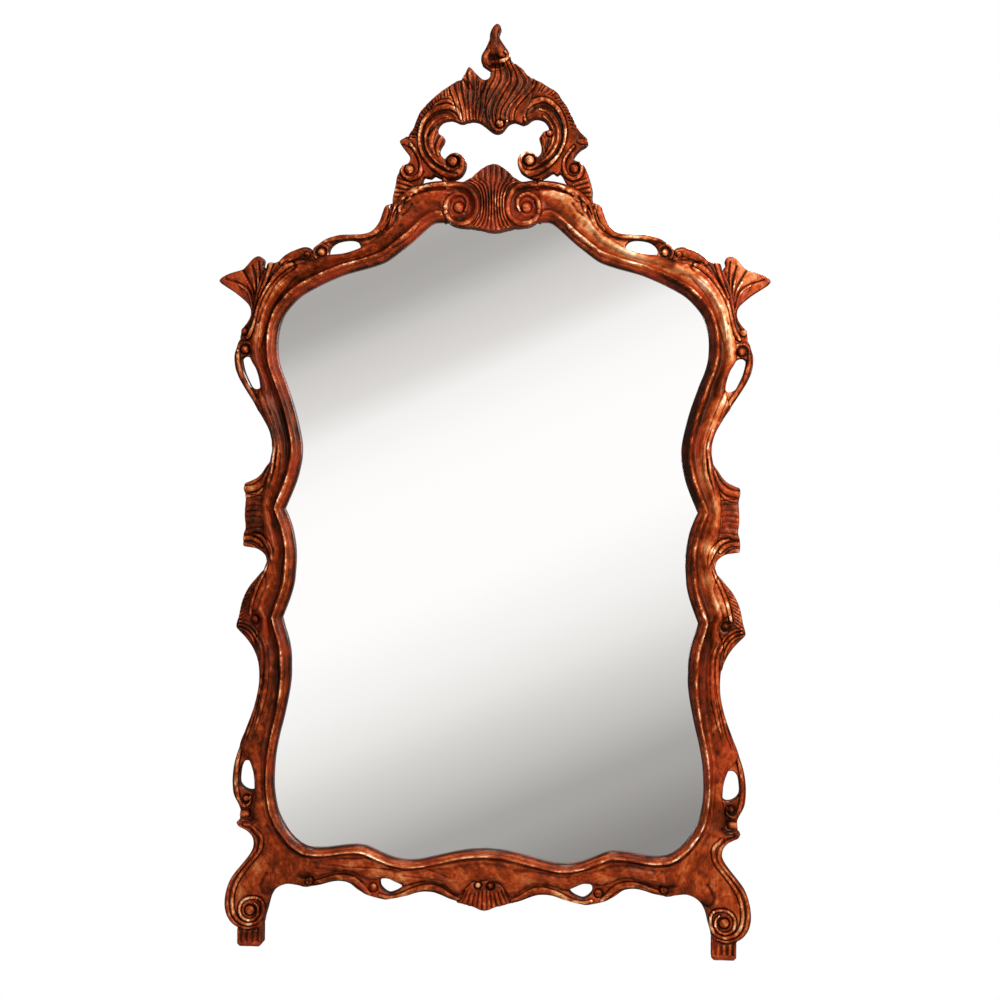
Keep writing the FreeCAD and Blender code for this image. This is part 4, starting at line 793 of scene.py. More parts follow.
corner_bead = (bead, [(296, 275, 1), (286, 284, 2.6), (275.6, 296, 3.6), (268, 312, 3.6),
    (263.6, 328, 3), (260.4, 348, 1)], 1.8)
corner_groove = (groove, [(296.4, 262, 1.6), (295.6, 268, 2), (290.6, 272, 1.8),
    (285.2, 275.6, 1.6), (279.5, 281, 1.5), (273.6, 289, 1.6), (267.8, 299, 1.6), (264, 307, 1.5),
    (261.4, 315, 1.4), (259.4, 323, 1.1)], 3.5)
rail_strokes = {
    "top_rail_left": [
        corner_bead,
        (bead, [(411.5, 195.6, 1.2), (408.5, 199.6, 2.2), (405.4, 201.6, 1.4)], 3.0),
        (bead, [(404.6, 198.4, 1.2), (401.6, 202.6, 2.2), (399.8, 208, 2.5), (399.6, 212, 1.4)],
         3.4),
        (bead, [(418, 224, 1.2), (411, 232, 2.6), (400, 241, 2.6), (388, 249, 1)], 1.4),
        (bead, [(389.6, 205.8, 1.2), (390.4, 212, 1.7), (387.8, 219.6, 0.8)], 1.8),
        (groove, [(397.4, 215, 1.6), (391, 226.5, 1.8), (380, 235.6, 1.6), (366, 240, 1.5),
         (352, 243.4, 1.2)], 2.6),
        (groove, [(411.8, 205, 1.6), (408, 211, 1.6), (402, 216, 1.4)], 2.2),
        corner_groove],
    "stile_left": [
        corner_bead,
        (bead, [(254.4, 400, 0.6), (262, 419, 1.5), (269.4, 435, 1.7), (274.9, 449, 1.8),
         (274.6, 463, 1.4), (272.6, 478, 0.5)], 2.0),
        (bead, [(256, 378, 0.8), (262, 397, 2.4), (270, 418, 2.8), (277, 440, 2.8),
         (279, 456, 2.2), (277.6, 476, 0.8)], 1.5),
        (bead, [(245, 484.6, 3), (253, 483.6, 3.2), (260, 480.8, 3), (266.4, 474, 2.2),
         (271.6, 462, 0.8)], 3.0),
        (bead, [(260, 535.4, 1.4), (267.8, 542.8, 2.8), (271.6, 550.6, 2.4), (273.6, 561, 0.8)],
         3.4),
        (bead, [(269.6, 562, 0.6), (266, 571, 1.4), (259.6, 583, 1.8), (254.8, 596, 1.8),
         (252, 607, 1.7), (250.6, 613, 1.5)], 3.2),
        (bead, [(255, 632, 0.6), (261, 643, 1.5), (263.4, 657.4, 1.7), (262, 680, 1.7),
         (257.4, 702, 1.6), (251.6, 725, 1.2), (245, 742, 0.5)], 1.7),
        (bead, [(260, 629, 0.6), (267, 646, 1.6), (268.4, 662, 2), (267, 686, 2.2),
         (262.6, 708, 1.8), (256, 732, 0.6)], 1.2),
        corner_groove,
        (groove, [(252, 395, 1.2), (258.6, 411, 1.5), (266, 428, 1.6), (271.4, 441, 1.5)], 2.2),
        (groove, [(264.6, 571, 1.6), (268, 583, 1.6), (262, 598, 1.6), (258, 610, 1.6)], 2.0)],
    "bottom_rail": [
        (bead, [(322, 861, 0.8), (336, 860, 3), (352, 861, 4), (374, 861.6, 4), (400, 868, 1)],
         1.3),
        (bead, [(396, 872, 0.8), (410, 871, 3), (428, 872, 4), (452, 878, 1)], 1.2),
        (groove, [(318, 866, 1.8), (338, 869.4, 2), (356, 871, 2), (370, 876, 1.8)], 1.2),
        (groove, [(384, 886, 1.8), (398, 883.4, 2), (414, 877, 2), (430, 875.6, 1.8)], 1.2)]}


def rail_touches(node, x, y, height):
    """The leaf tips, knuckles and volutes that are carved on the rails themselves."""
    if node == "top_rail_left":
        height = volute_form(x, y, height)
    return press(x, y, height, rail_strokes[node])


# each rail's edge bead: shares of the way along it, and there its amount and its half width
top_bead = [0, 0.3, 0.36, 1], [0.8, 0.8, 0, 0], [4.6, 4.6, 3, 3]
stile_bead = [0, 0.24, 0.28, 0.35, 0.39, 1], [0, 0, 0.7, 0.7, 0, 0], [2.6] * 6
bottom_bead = [0, 1], [0, 0], [3, 3]
bottom_end = 2 * middle - bottom_start
carve_rail("top_rail_left", top_start, stile_start, top_bead, level_finish)
carve_rail("stile_left", stile_start, corner_start, stile_bead, upright_finish)
carve_rail("bottom_rail", bottom_start, bottom_end, bottom_bead, level_finish, both=False)

# Applied carving: every other carved piece is sawn to its outline, glued to the rails and worked
# in place. Each is a block with a level back and a carved face, rounded over at its free edges.
carved_names = [s["node"] for s in frame["record"]["subparts"]
                if s["material_slot"] == "carved_walnut"]
all_edges = {}
for carved_name in carved_names:
    spots, ends = back_edges(carved_name)
    all_edges[carved_name] = (spots[ends[:, 0]], spots[ends[:, 1]])
rebate_line = sight_line + rebate_width * outward
grid_step = 0.8
loop_steps = 2
corner_turn = math.radians(42)
lap = 0.8                      # how far a piece runs under its neighbour
free_round = 2.8
seam_round = 1.1
least_height = 7.0
beside_gap = 0.6               # how far off an edge its neighbour is looked for
rim_share = 0.4                # a place this near to the outline is drawn onto it
glass_cover = 3.0              # the least wood in front of the rebate


def smooth_loop(row):
    """A closed outline drawn finer, by spans that keep its sharp corners sharp."""
    before, after = row - np.roll(row, 1, axis=0), np.roll(row, -1, axis=0) - row
    turn = np.abs(np.angle(np.exp(1j * (np.arctan2(after[:, 1], after[:, 0])
                                        - np.arctan2(before[:, 1], before[:, 0])))))
    slope = np.where((turn < corner_turn)[:, None], (before + after) / 2, 0)
    return spans(row, np.roll(row, -1, axis=0), slope, np.roll(slope, -1, axis=0), loop_steps)


def within(x, z, starts, ends):
    """Whether each place lies inside the closed lines: it does if a ray from it crosses an odd
    number of edges."""
    inside = np.zeros(x.shape, bool)
    for (ax, az), (bx, bz) in zip(starts, ends):
        if az != bz:
            inside ^= ((az > z) != (bz > z)) & (x < (bx - ax) * (z - az) / (bz - az) + ax)
    return inside


def nearest_edge(x, z, starts, ends):
    """The distance to the nearest edge, that edge's number and the nearest place on it."""
    least, edge = np.full(x.shape, np.inf), np.zeros(x.shape, int)
    at_x, at_z = np.array(x), np.array(z)
    for k, ((ax, az), (bx, bz)) in enumerate(zip(starts, ends)):
        run = (bx - ax) ** 2 + (bz - az) ** 2 + 1e-12
        t = np.clip(((x - ax) * (bx - ax) + (z - az) * (bz - az)) / run, 0, 1)
        px, pz = ax + t * (bx - ax), az + t * (bz - az)
        away = np.hypot(x - px, z - pz)
        nearer = away < least
        least, edge = np.where(nearer, away, least), np.where(nearer, k, edge)
        at_x, at_z = np.where(nearer, px, at_x), np.where(nearer, pz, at_z)
    return least, edge, at_x, at_z


def carve(node, thickness, shape, finish, flush=(), both=None):
    """An applied piece: a square grid over its outline, its rim drawn onto the outline, raised to
    the face that `shape` gives, with a level back and upright walls between the two.

    shape(x, y, edge, height) takes picture places and the distance to the outline in millimetres.
    """
    loops = [smooth_loop(row) for row in outlines(node)]
    starts = np.vstack(loops)
    ends = np.vstack([np.roll(row, -1, axis=0) for row in loops])
    run = ends - starts
    away = np.column_stack([run[:, 1], -run[:, 0]]) / np.linalg.norm(run, axis=1)[:, None]
    beside = (starts + ends) / 2 + beside_gap * away
    touching = np.zeros(len(starts), bool)
    level_seam = np.zeros(len(starts), bool)
    for other, (a, b) in all_edges.items():
        if other != node:
            hit = within(beside[:, 0], beside[:, 1], a, b)
            touching |= hit
            if other in flush:
                level_seam |= hit
    low, high = starts.min(axis=0) - grid_step, starts.max(axis=0) + grid_step
    x, z = np.meshgrid(*(np.arange(low[k], high[k], grid_step) for k in (0, 1)), indexing="ij")
    least, edge, at_x, at_z = nearest_edge(x, z, starts, ends)
    inside = within(x, z, starts, ends)
    kept = inside | (least < rim_share * grid_step)
    index = np.arange(x.size).reshape(x.shape)
    corners = [index[:-1, :-1], index[1:, :-1], index[1:, 1:], index[:-1, 1:]]
    held = [kept.ravel()[c] for c in corners]
    quads = np.stack(corners, axis=-1)[np.logical_and.reduce(held)]
    triangles = []
    for k in range(4):
        three = [c for j, c in enumerate(corners) if j != k]
        take = ~held[k] & np.logical_and.reduce([h for j, h in enumerate(held) if j != k])
        triangles.append(np.stack(three, axis=-1)[take])
    triangles = np.vstack(triangles)
    pairs = [quads[:, [k, (k + 1) % 4]] for k in range(4)]
    pairs += [triangles[:, [k, (k + 1) % 3]] for k in range(3)]
    pairs = np.vstack(pairs)
    _, first, uses = np.unique(np.sort(pairs, axis=1), axis=0, return_index=True,
                               return_counts=True)
    rim = pairs[first[uses == 1]]
    used = np.zeros(x.size, bool)
    used[quads] = used[triangles] = True
    on_rim = np.unique(rim)
    flat_x, flat_z = x.ravel().copy(), z.ravel().copy()
    flat_x[on_rim], flat_z[on_rim] = at_x.ravel()[on_rim], at_z.ravel()[on_rim]

    number = np.full(x.size, -1)
    number[used] = np.arange(used.sum())
    x1, z1 = flat_x[used], flat_z[used]
    free_edges = ~touching
    from_free = nearest_edge(x1, z1, starts[free_edges], ends[free_edges])[0]
    seams = touching & ~level_seam
    from_seam = (nearest_edge(x1, z1, starts[seams], ends[seams])[0] if seams.any()
                 else np.full(x1.shape, np.inf))
    edge_distance = np.minimum(from_free, from_seam)
    block_top = np.full(x1.shape, float(thickness))
    height = shape(*picture(x1, z1), edge_distance, block_top) + tool_marks(x1, z1)
    height = height - round_over(from_free, free_round) - round_over(from_seam, seam_round)
    height = np.maximum(height, least_height)
    in_rebate = within(x1, z1, rebate_line, np.roll(rebate_line, -1, axis=0))
    height = np.where(in_rebate, np.maximum(height, rebate_depth + glass_cover), height)

    grid = np.zeros(x.size)
    grid[used] = height
    relief = stand_out(grid.reshape(x.shape), used.reshape(x.shape)).ravel()[used]
    slide = np.where(seams[edge.ravel()], lap, 0)[on_rim, None] * away[edge.ravel()[on_rim]]
    x1[number[on_rim]] += slide[:, 0]
    z1[number[on_rim]] += slide[:, 1]
    count = used.sum()
    front = np.column_stack([x1, -back_gap - height, z1])
    rear = np.column_stack([x1, np.where(in_rebate, -back_gap - rebate_depth, -back_gap), z1])
    quads, triangles, rim = number[quads], number[triangles], number[rim]
    walls = np.column_stack([rim[:, 0], rim[:, 1], rim[:, 1] + count, rim[:, 0] + count])
    faces = [quads, triangles, quads[:, ::-1] + count, triangles[:, ::-1] + count, walls[:, ::-1]]
    flags = [np.full(len(group), kind) for kind, group in zip((0, 0, 1, 1, 2), faces)]
    places = np.vstack([front, rear])
    relief = np.concatenate([relief, np.full(count, wall_relief)])
    make_piece(node, places, faces, flags, relief, finish)
    if both if both is not None else node.endswith("_left"):
        make_piece(node.replace("_left", "_right"), places, faces, flags, relief, finish,
                   mirrored=True)


far_edge = 60                  # farther from the outline a crown is level anyway


def plump(edge, rise, reach):
    """A gentle crown: rises from the outline and levels off, as one minus a falling
    exponential."""
    return rise * (1 - np.exp(-np.minimum(edge, far_edge) / reach))


def worked(rise, reach, strokes):
    """A face that is a gentle crown with strokes worked into it."""
    return lambda x, y, edge, height: press(x, y, height + plump(edge, rise, reach), strokes)


def evenly(path_px, count):
    """A smooth path drawn with this many places, evenly spread along it."""
    rows = refine(np.array(path_px, float), 6)
    run = np.concatenate([[0], np.cumsum(np.linalg.norm(np.diff(rows, axis=0), axis=1))])
    return np.column_stack([np.interp(np.linspace(0, run[-1], count), run, rows[:, k])
                            for k in (0, 1)])


long_count, cross_count = 49, 17
block_size = 4096              # places compared at a time, to spare memory


def between(x, y, first_px, second_px):
    """Shares along and across the band between two guide curves, and whether a place is in it.

    The band is sampled as a straight mix of the two curves. Each place takes its nearest sample's
    two shares, then one Newton step with that sample's slopes.
    """
    v = np.linspace(0, 1, long_count)
    u = np.linspace(0, 1, cross_count)
    a, b = evenly(first_px, long_count), evenly(second_px, long_count)
    band = a[:, None] + u[None, :, None] * (b - a)[:, None]
    slope_v = np.gradient(band, v, axis=0).reshape(-1, 2)
    slope_u = np.gradient(band, u, axis=1).reshape(-1, 2)
    samples = band.reshape(-1, 2).astype(np.float32)
    spots = np.column_stack([x, y]).astype(np.float32)
    nearest = np.empty(len(spots), int)
    for start in range(0, len(spots), block_size):
        block = slice(start, start + block_size)
        apart = ((spots[block, None] - samples[None]) ** 2).sum(axis=2)
        nearest[block] = apart.argmin(axis=1)
    rest = spots - samples[nearest]
    su, sv = slope_u[nearest], slope_v[nearest]
    spread = su[:, 0] * sv[:, 1] - su[:, 1] * sv[:, 0]
    spread = np.where(np.abs(spread) < 1e-6, 1e-6, spread)
    along = v[nearest // cross_count] + (su[:, 0] * rest[:, 1] - su[:, 1] * rest[:, 0]) / spread
    across = u[nearest % cross_count] + (rest[:, 0] * sv[:, 1] - rest[:, 1] * sv[:, 0]) / spread
    inside = (along > -0.01) & (along < 1.01) & (across > -0.02) & (across < 1.02)
    return np.clip(along, 0, 1), np.clip(across, 0, 1), inside


def reeds(share, count):
    """Rounded ribs side by side with sharp valleys: the height of a sine wave, made positive."""
    return np.abs(np.sin(np.pi * count * share)) ** 0.8


def ribs(x, y, height, lines_px, count, rise, drop, waver=0):
    """Ribs across the band between two lines, sunk by the drop. The waver makes them uneven: how
    many sine waves, in radians, shift them on the way."""
    v, _, inside = between(x, y, *lines_px)
    return height + inside * (rise * reeds(v + 0.01 * np.sin(waver * v), count) - drop)


def ring_px(cx, cy, radius, start, end):
    """An arc round a place, from start to end in half turns, as a path for a bead."""
    return [(cx + radius * math.cos(a), cy - radius * math.sin(a), 1.6)
            for a in np.linspace(start * math.pi, end * math.pi, 12)]


# Rail scrolls: a C scroll on the top of each top rail, pierced under its back, that starts in a
# round knob and ends in a leaf curling up beside the crest.
carve("rail_scroll_left", 21, worked(1.2, 4, [
    (groove, [(330, 244, 1.6), (346, 241.4, 1.8), (362, 240.4, 1.8), (376, 236, 1.8),
     (386, 226, 1.8), (390.4, 214, 1.6)], 2.4),
    (bead, [(315, 248, 1.8), (321, 242.6, 2.2), (331, 239, 2.3), (346, 236.8, 2.3),
     (362, 236, 2.5), (374, 231.8, 3), (381.4, 223, 3.4), (385, 213, 3.4), (387.4, 207, 2.8)], 3.0,
     0.8, 1.6),
    (bead, [(389.6, 206, 1.5), (390.2, 213, 1.5), (387, 222, 1.4), (381, 230, 1.3)], 2.0, 0.8),
    (bead, ring_px(321, 252.4, 7.4, -0.2, 1.25), 2.0, 0.6),
    (knob, (321.2, 252.4, 3.7), 5.4, 2.6, 1.9)]), level_finish)

# Corner leaves and fans: at each upper corner a long leaf rolls over and runs down the rail as a
# cord, and behind it a fan of five lobes stands out from the frame.
fan_stalk = [
    (bead, [(250.8, 312, 1.4), (249, 320, 1.8), (245.6, 326.6, 1.8)], 2, 1),
    (knob, (244.4, 331, 3.4), 4.2, 2.4, 1.8)]
fan_root_px = [(250.4, 313), (250.6, 309), (252, 306), (254, 303.6), (256, 300.4), (257.4, 297)]
fan_tip_px = [(236, 293.4), (221, 282.4), (226, 274.6), (240, 270), (246.4, 264.4), (253.4, 258),
              (260, 257.4), (264, 268)]
fan_lines_px = [
    [(254.2, 307), (250.4, 292), (241, 284), (226, 279)],
    [(255.6, 305), (253.8, 291.3), (249, 281), (242.6, 270)],
    [(256.6, 303.3), (256.8, 290), (255.4, 279), (252.4, 266)],
    [(257.8, 301.5), (259.6, 288), (260, 277), (258.4, 262)]]


def corner_fan_face(x, y, edge, height):
    """Five lobes that rise on their way out, a sharp cut and a fine line between each two, and
    the stalk with its knob."""
    v, u, inside = between(x, y, fan_root_px, fan_tip_px)
    height = height + plump(edge, 1, 3)
    height = height + inside * 1.8 * (reeds(v, 5) - 1) * ease(u, 0.1, 0.6)
    for line in fan_lines_px:
        height = press(x, y, height, [
            (groove, [(a, b, 1.2) for a, b in line], 3.4),
            (bead, [(a - 2, b + 0.8, 1.1) for a, b in line[:-1]], 1.6, 0.4, 0.8)])
    return press(x, y, height, fan_stalk)


carve("corner_leaf_left", 24, worked(1, 4, [
    (bead, [(309, 252.6, 3), (301, 252.8, 4.2), (291, 256.8, 4.4), (282.6, 262.2, 3.4)], 3.4, 0.8),
    (groove, [(308, 260, 1.4), (297, 260.4, 1.6), (288, 263.6, 1.4)], 3),
    (bead, [(291.4, 265, 2.8), (288.2, 266, 3.7), (284, 269, 3.3), (275.6, 277.4, 2.6),
     (269.6, 285.6, 2.4), (263.8, 295.6, 2.3), (259.8, 304.6, 2.2), (257, 315, 2.2),
     (254.6, 324.6, 2.2), (251.4, 332.6, 2.2), (248, 337.6, 2)], 5.0, 2.6, 1.5),
    (bead, [(271.6, 264, 2.2), (268.4, 274, 1.9), (264, 286, 1.6), (259.6, 297, 1.3)], 2.8, 1.6),
    (groove, [(279, 264.6, 1.3), (273, 273.6, 1.5), (267, 285, 1.3)], 2.6),
    (knob, (307.6, 254.8, 2.6), 2.6, 1.6, 1.6)]), upright_finish)
carve("corner_fan_left", 20, corner_fan_face, upright_finish)

# Side scrolls: long C scrolls glued to the upper part of each stile, pierced between their back
# and the stile, each starting in a knob.
carve("side_scroll_left", 21, worked(1, 4, [
    (bead, ring_px(245.6, 349.3, 7.2, -0.35, 1.05), 2.2, 0.8),
    (bead, [(238.8, 351, 1.6), (238.2, 358, 1.9), (240, 369, 2.1), (245, 380.5, 2.2),
     (251, 391.5, 2.1), (257, 401, 1.9), (263, 410.6, 1.5)], 2.6, 1.2, 1.6),
    (knob, (245.6, 349.6, 3.8), 5.0, 2.4, 1.8)]), upright_finish)

# Side tablets: a ribbed block between two rolled caps, half way up each stile and glued to its
# outer edge.
tablet_inner_px = [(263, 495), (261.6, 508), (261, 520), (262.4, 533)]
tablet_outer_px = [(244.4, 493), (243.6, 507), (243.6, 521), (244.2, 534)]
tablet_caps = [
    (bead, [(245, 488.6, 3), (253, 488, 3.2), (260, 484.6, 3.4), (266.4, 477, 3),
     (270.4, 467, 1.8)], 3.6, 1.4),
    (bead, [(244.6, 495.4, 2), (252, 494.8, 2), (258.8, 492.4, 1.8), (263.6, 487.4, 1.4)], 1.8,
     1.0),
    (bead, [(244.6, 537.6, 2.4), (252, 538, 2.4), (258, 540.4, 2.2), (262.6, 545.4, 1.8)], 2.8,
     1.2),
    (bead, [(244.6, 544, 2.2), (251, 545, 2), (256, 548.6, 1.6)], 2.0, 1.0),
    (bead, [(255, 533.6, 1.6), (262.6, 537, 2.2), (267.8, 542.8, 2.8), (271.4, 550.6, 2.4),
     (273, 558, 1.2)], 4.0, 1.6)]


def side_tablet_face(x, y, edge, height):
    """Seven uneven ribs across the block, sunk between the caps; the ribs bend a little and
    differ in height, both by a sine wave."""
    v, u, inside = between(x, y, tablet_inner_px, tablet_outer_px)
    rib = reeds(v + 0.02 * np.sin(5 * u), 7) * (0.7 + 0.3 * np.sin(2.3 + 13 * v))
    height = height + plump(edge, 0.8, 2)
    return press(x, y, height + inside * (2.2 * rib - 2.6), tablet_caps)


carve("side_tablet_left", 20, side_tablet_face, upright_finish)

# Side leaves: below the tablet a leaf with a corded edge and short ribs, ending in an eye and
# three fine bands.
leaf_cord_px = [(268.4, 566, 1.2), (266, 571, 1.3), (259.6, 583, 1.6), (254.8, 596, 1.7),
                (252, 607, 1.7), (250.6, 613, 1.5)]
leaf_inner_px = [(263, 573), (255.4, 584), (250.4, 597), (247, 611), (246, 619)]
leaf_outer_px = [(257, 577), (248, 587), (242, 600), (239, 615), (236.6, 625)]
leaf_bands = [(bead, [
    (238.6 + shift * 0.3, 627.4 - shift, 1.3), (246.6 + shift * 0.5, 630.6 - shift, 1.4),
    (253 + shift * 0.8, 638 - shift * 0.7, 1.4), (257.4 + shift * 0.8, 650, 1.3),
    (259.6 + shift * 0.5, 660, 0.9)], 1.8, 0.9, 0.8) for shift in (0, 3.4, 6.8)]
carve("side_leaf_left", 20, worked(1, 2.4, [
    (ribs, (leaf_inner_px, leaf_outer_px), 13, 1.6, 1.3),
    (bead, leaf_cord_px, 3.6, 1.8, 1.4), *leaf_bands,
    (knob, (255.8, 618.7, 3.5), 4.6, 3.0, 2.2)]), upright_finish)

# Low scrolls: the last C scrolls of the stiles, glued on above the feet, with a knob and a small
# tab over the foot's cap.
carve("low_scroll_left", 21, worked(1, 4, [
    (bead, [(243.2, 744, 1.4), (239.4, 756, 1.8), (237.4, 769, 2), (237, 782, 2), (238.2, 793, 2),
     (241, 801.4, 1.9), (245.6, 805, 1.7), (250.6, 802, 1.4), (251, 796, 1.2)], 2.6, 1.2),
    (bead, [(242.4, 812.8, 3.4), (247.4, 812.8, 3.4)], 2.6, 2.8, 1.8),
    (bead, [(238, 820.6, 1.6), (246, 820.8, 1.6), (254, 823.6, 1.5)], 1.6, 1.6),
    (knob, (247.4, 797.8, 3.2), 3.4, 2.6, 1.7)]), upright_finish)

# Feet: each lower corner of the frame and the scroll foot under it are one block, so the rail's
# band, arris and cove run on over it, and a double bead follows the foot round into its eye.
foot_bead_px = [
    (246, 822.6, 1.5), (252, 823.8, 1.7), (258, 829.6, 1.9), (262.6, 834.4, 2), (263.2, 841, 2),
    (260.4, 850.4, 1.9), (248.4, 865.4, 1.8), (238.4, 880.6, 1.8), (234.2, 896, 1.8),
    (235.4, 910.6, 1.8), (241.4, 919.6, 1.8), (251, 922.6, 1.8), (259.6, 919.6, 1.8),
    (264.4, 911.6, 1.8), (265, 903, 1.6), (262, 897.6, 1.4)]
foot_ring_px = [
    (262, 897.6, 1.4), (256.6, 895.8, 1.5), (249.6, 896.4, 1.6), (243.6, 900.4, 1.6),
    (241.4, 907.4, 1.6), (243.4, 914.6, 1.6), (249.4, 918.4, 1.5), (256, 917, 1.4),
    (260, 911.6, 1.3), (259.6, 905, 1.2), (256.4, 901.2, 0.9)]
foot_rim_px = [
    (241.6, 824.4, 1.4), (249, 828, 1.6), (255.6, 834.6, 1.8), (258, 843, 1.8), (255.4, 852, 1.8),
    (243, 865.6, 1.7), (232.8, 879.6, 1.6), (229.2, 896, 1.6), (230.4, 911, 1.6),
    (237, 921.6, 1.6), (247.4, 926.2, 1.6), (258, 924.6, 1.4)]
corner_sight = rail_rows(corner_start, bottom_start)
long_line = rail_rows(corner_start - 8, bottom_start + 8)     # eight stations past both ends
long_line = np.column_stack([long_line[:, :2], np.ones(len(long_line))])
seam_low = corner_sight[0]
seam_end = corner_sight[-1]
foot_strokes = [
    (groove, [(268, 872, 2), (262, 884, 2.4), (266, 893, 2.4), (275, 890, 2), (288, 884, 1.6)],
     2.6),
    (bead, foot_rim_px, 1.6, 0.8, 0.9),
    (bead, foot_bead_px, 2.6, 1.4, 1.2),
    (bead, foot_ring_px, 2.6, 1.6, 1.2),
    (bead, [(316, 881.4, 1.6), (324, 879.4, 2), (334, 876.4, 2.4)], 3.0, 1.4),
    (knob, (310.3, 879.5, 3.6), 4.4, 2.4, 1.7),
    (knob, (251.8, 908.4, 4.7), 5.2, 3.0, 1.6)]
corner_width = 60.0            # the rail's width where it turns the corner
corner_level = 28.4            # the flat of the corner, and how much more it rises outwards
corner_rise, corner_rise_reach = 1.2, 14
foot_seam_reach = 26
seam_overrun = 4               # past the rail's outer edge its section still counts
foot_setback = (44, 62)        # where the rail's section gives way to the foot's level block


def by_seam(row, x_mm, z_mm, reach):
    """How near places are to a rail's end, from 1 at the seam to 0 at this reach, and how far they
    are from the glass edge along the seam."""
    way = row[2:4] / np.linalg.norm(row[2:4])
    off = np.abs(-(x_mm - row[0]) * way[1] + (z_mm - row[1]) * way[0])
    along = (x_mm - row[0]) * way[0] + (z_mm - row[1]) * way[1]
    return (1 - ease(off, 0, reach)) * (along < row[4] + seam_overrun), along


def foot_face(x, y, edge, height):
    """The rail's section round the corner, turned level beyond the cove and eased to the rails'
    own sections at both seams, then the level block of the foot."""
    x_mm, z_mm = place(x, y)
    setback = nearest_on(x_mm, z_mm, long_line)[0]
    arris = arris_at(y)
    cove = cove_end(corner_width, arris)
    broad = corner_level + corner_rise * ease(setback, cove, cove + corner_rise_reach)
    face = np.where(setback < cove, rail_height(setback, corner_width + 0 * setback, arris), broad)
    for row in (seam_low, seam_end):
        near, _ = by_seam(row, x_mm, z_mm, foot_seam_reach)
        face = face + near * (rail_height(setback, row[4] + 0 * setback, arris) - face)
    outside = ease(setback, *foot_setback)
    face = face * (1 - outside) + outside * (height + plump(edge, 1.4, 4))
    return press(x, y, face, foot_strokes)


carve("foot_left", 27, foot_face, upright_finish, flush=("stile_left", "bottom_rail"))

# Foot pads: the square blocks that the feet end in and that the mirror would stand on, each with
# four stopped flutes.
flutes_px = [243.2, 248.8, 254.4, 260]


def foot_pad_face(x, y, edge, height):
    """Four flutes in a gentle crown, and a small step down to the sole."""
    flutes = [(groove, [(flute, 915, 1.8), (flute, 938, 1.8)], 3.6) for flute in flutes_px]
    height = press(x, y, height + plump(edge, 1.2, 2.4), flutes)
    return height - 1.6 * ease(y, 939, 943)


carve("foot_pad_left", 34, foot_pad_face, upright_finish)

# Bottom scrolls: low scrolls glued under each half of the bottom rail, each with two knobs and a
# piercing.
carve("bottom_scroll_left", 21, worked(0.8, 4, [
    (groove, [(326, 884, 1.8), (340, 881, 2), (352, 883.4, 2), (362, 890, 1.8)], 2.0),
    (groove, [(398, 887, 1.8), (412, 881.4, 2), (426, 880, 2), (440, 883, 1.8), (452, 889, 1.6)],
     2.0),
    (bead, [(316, 881.4, 1.6), (324, 879.4, 2.2), (334, 876.8, 2.8), (344, 876.2, 3),
     (353.6, 878.4, 3), (360.4, 883.4, 2.8), (366, 888.8, 2.4), (370.6, 893.4, 1.6)], 2.8, 1.2,
     1.6),
    (bead, [(380.4, 894.2, 1.6), (390, 896.4, 1.8), (402, 894, 2.1), (412.6, 889.6, 2.6),
     (424, 886.4, 2.9), (435.6, 886.8, 2.9), (444, 890.8, 2.6), (452, 895, 2.1), (459, 898, 1.4)],
     2.8, 1.2, 1.6),
    (knob, (310.3, 879.5, 3.6), 4.4, 2.4, 1.7),
    (knob, (373.8, 886.2, 3.8), 4.2, 2.6, 1.8)]), level_finish)

# Bottom shell: a scallop glued over the middle of the bottom rail, its ribs spreading from two
# eyes.
shell_root_px = [(466, 884), (472, 889), (478, 889), (484.8, 886), (491.6, 889), (497.6, 889),
                 (503.6, 884)]
shell_tip_px = [(457.5, 899), (466, 903), (475, 905.4), (484.8, 908.6), (494.6, 905.6),
                (504, 903.6), (512, 899.6)]
shell_eyes = [(knob, (cx, cy, 2.9), 4.0, 3.4, 2) for cx, cy in ((478.4, 883.2), (490.9, 883.8))]


def bottom_shell_face(x, y, edge, height):
    """Eleven ribs that come up out of the root, and the two eyes."""
    v, u, inside = between(x, y, shell_root_px, shell_tip_px)
    height = height + plump(edge, 1.5, 4)
    height = height + inside * (3.0 * reeds(v, 11) - 2.0) * ease(u, -0.05, 0.2)
    return press(x, y, height, shell_eyes)


carve("bottom_shell", 28, bottom_shell_face, level_finish, both=False)

# Top volutes: the top rails end in two spiral volutes that face each other over the glass, each
# carved on a block of its own that is glued to its rail's end.
volute_seam = rail_rows(top_start, top_start + 4)[0]
volute_seam_reach = 16


def top_volute_face(x, y, edge, height):
    """The rail's own section at the seam, easing into a level block with the volute on it."""
    near, along = by_seam(volute_seam, *place(x, y), volute_seam_reach)
    width = volute_seam[4]
    rail = rail_height(np.clip(along, 0, width), width, arris_setback)
    rail = rail + edge_bead(width - along, top_bead[1][0], top_bead[2][0])
    height = height + plump(edge, 0.5, 3)
    return volute_form(x, y, height + near * (rail - height))


carve("top_volute_left", volute_level, top_volute_face, level_finish, flush=("top_rail_left",))

# Keystone: a fluted shell glued on between the volutes, narrow at its waist and flared at both
# ends.
key_left_px = [(465, 182), (473.6, 186), (479, 195), (480, 206), (478.4, 217), (472, 226.6)]
key_right_px = [(518, 182), (510, 186), (505, 195), (504, 206), (505.8, 217), (512, 226.6)]


key_waist_px = 204             # the waist's level, and how far from it the flare is full
key_flare_px = 26
key_apex_px = 191
key_middle_px = 492
key_half_px = (26, 14, 8)      # half the key's width, what the waist takes off, and its least


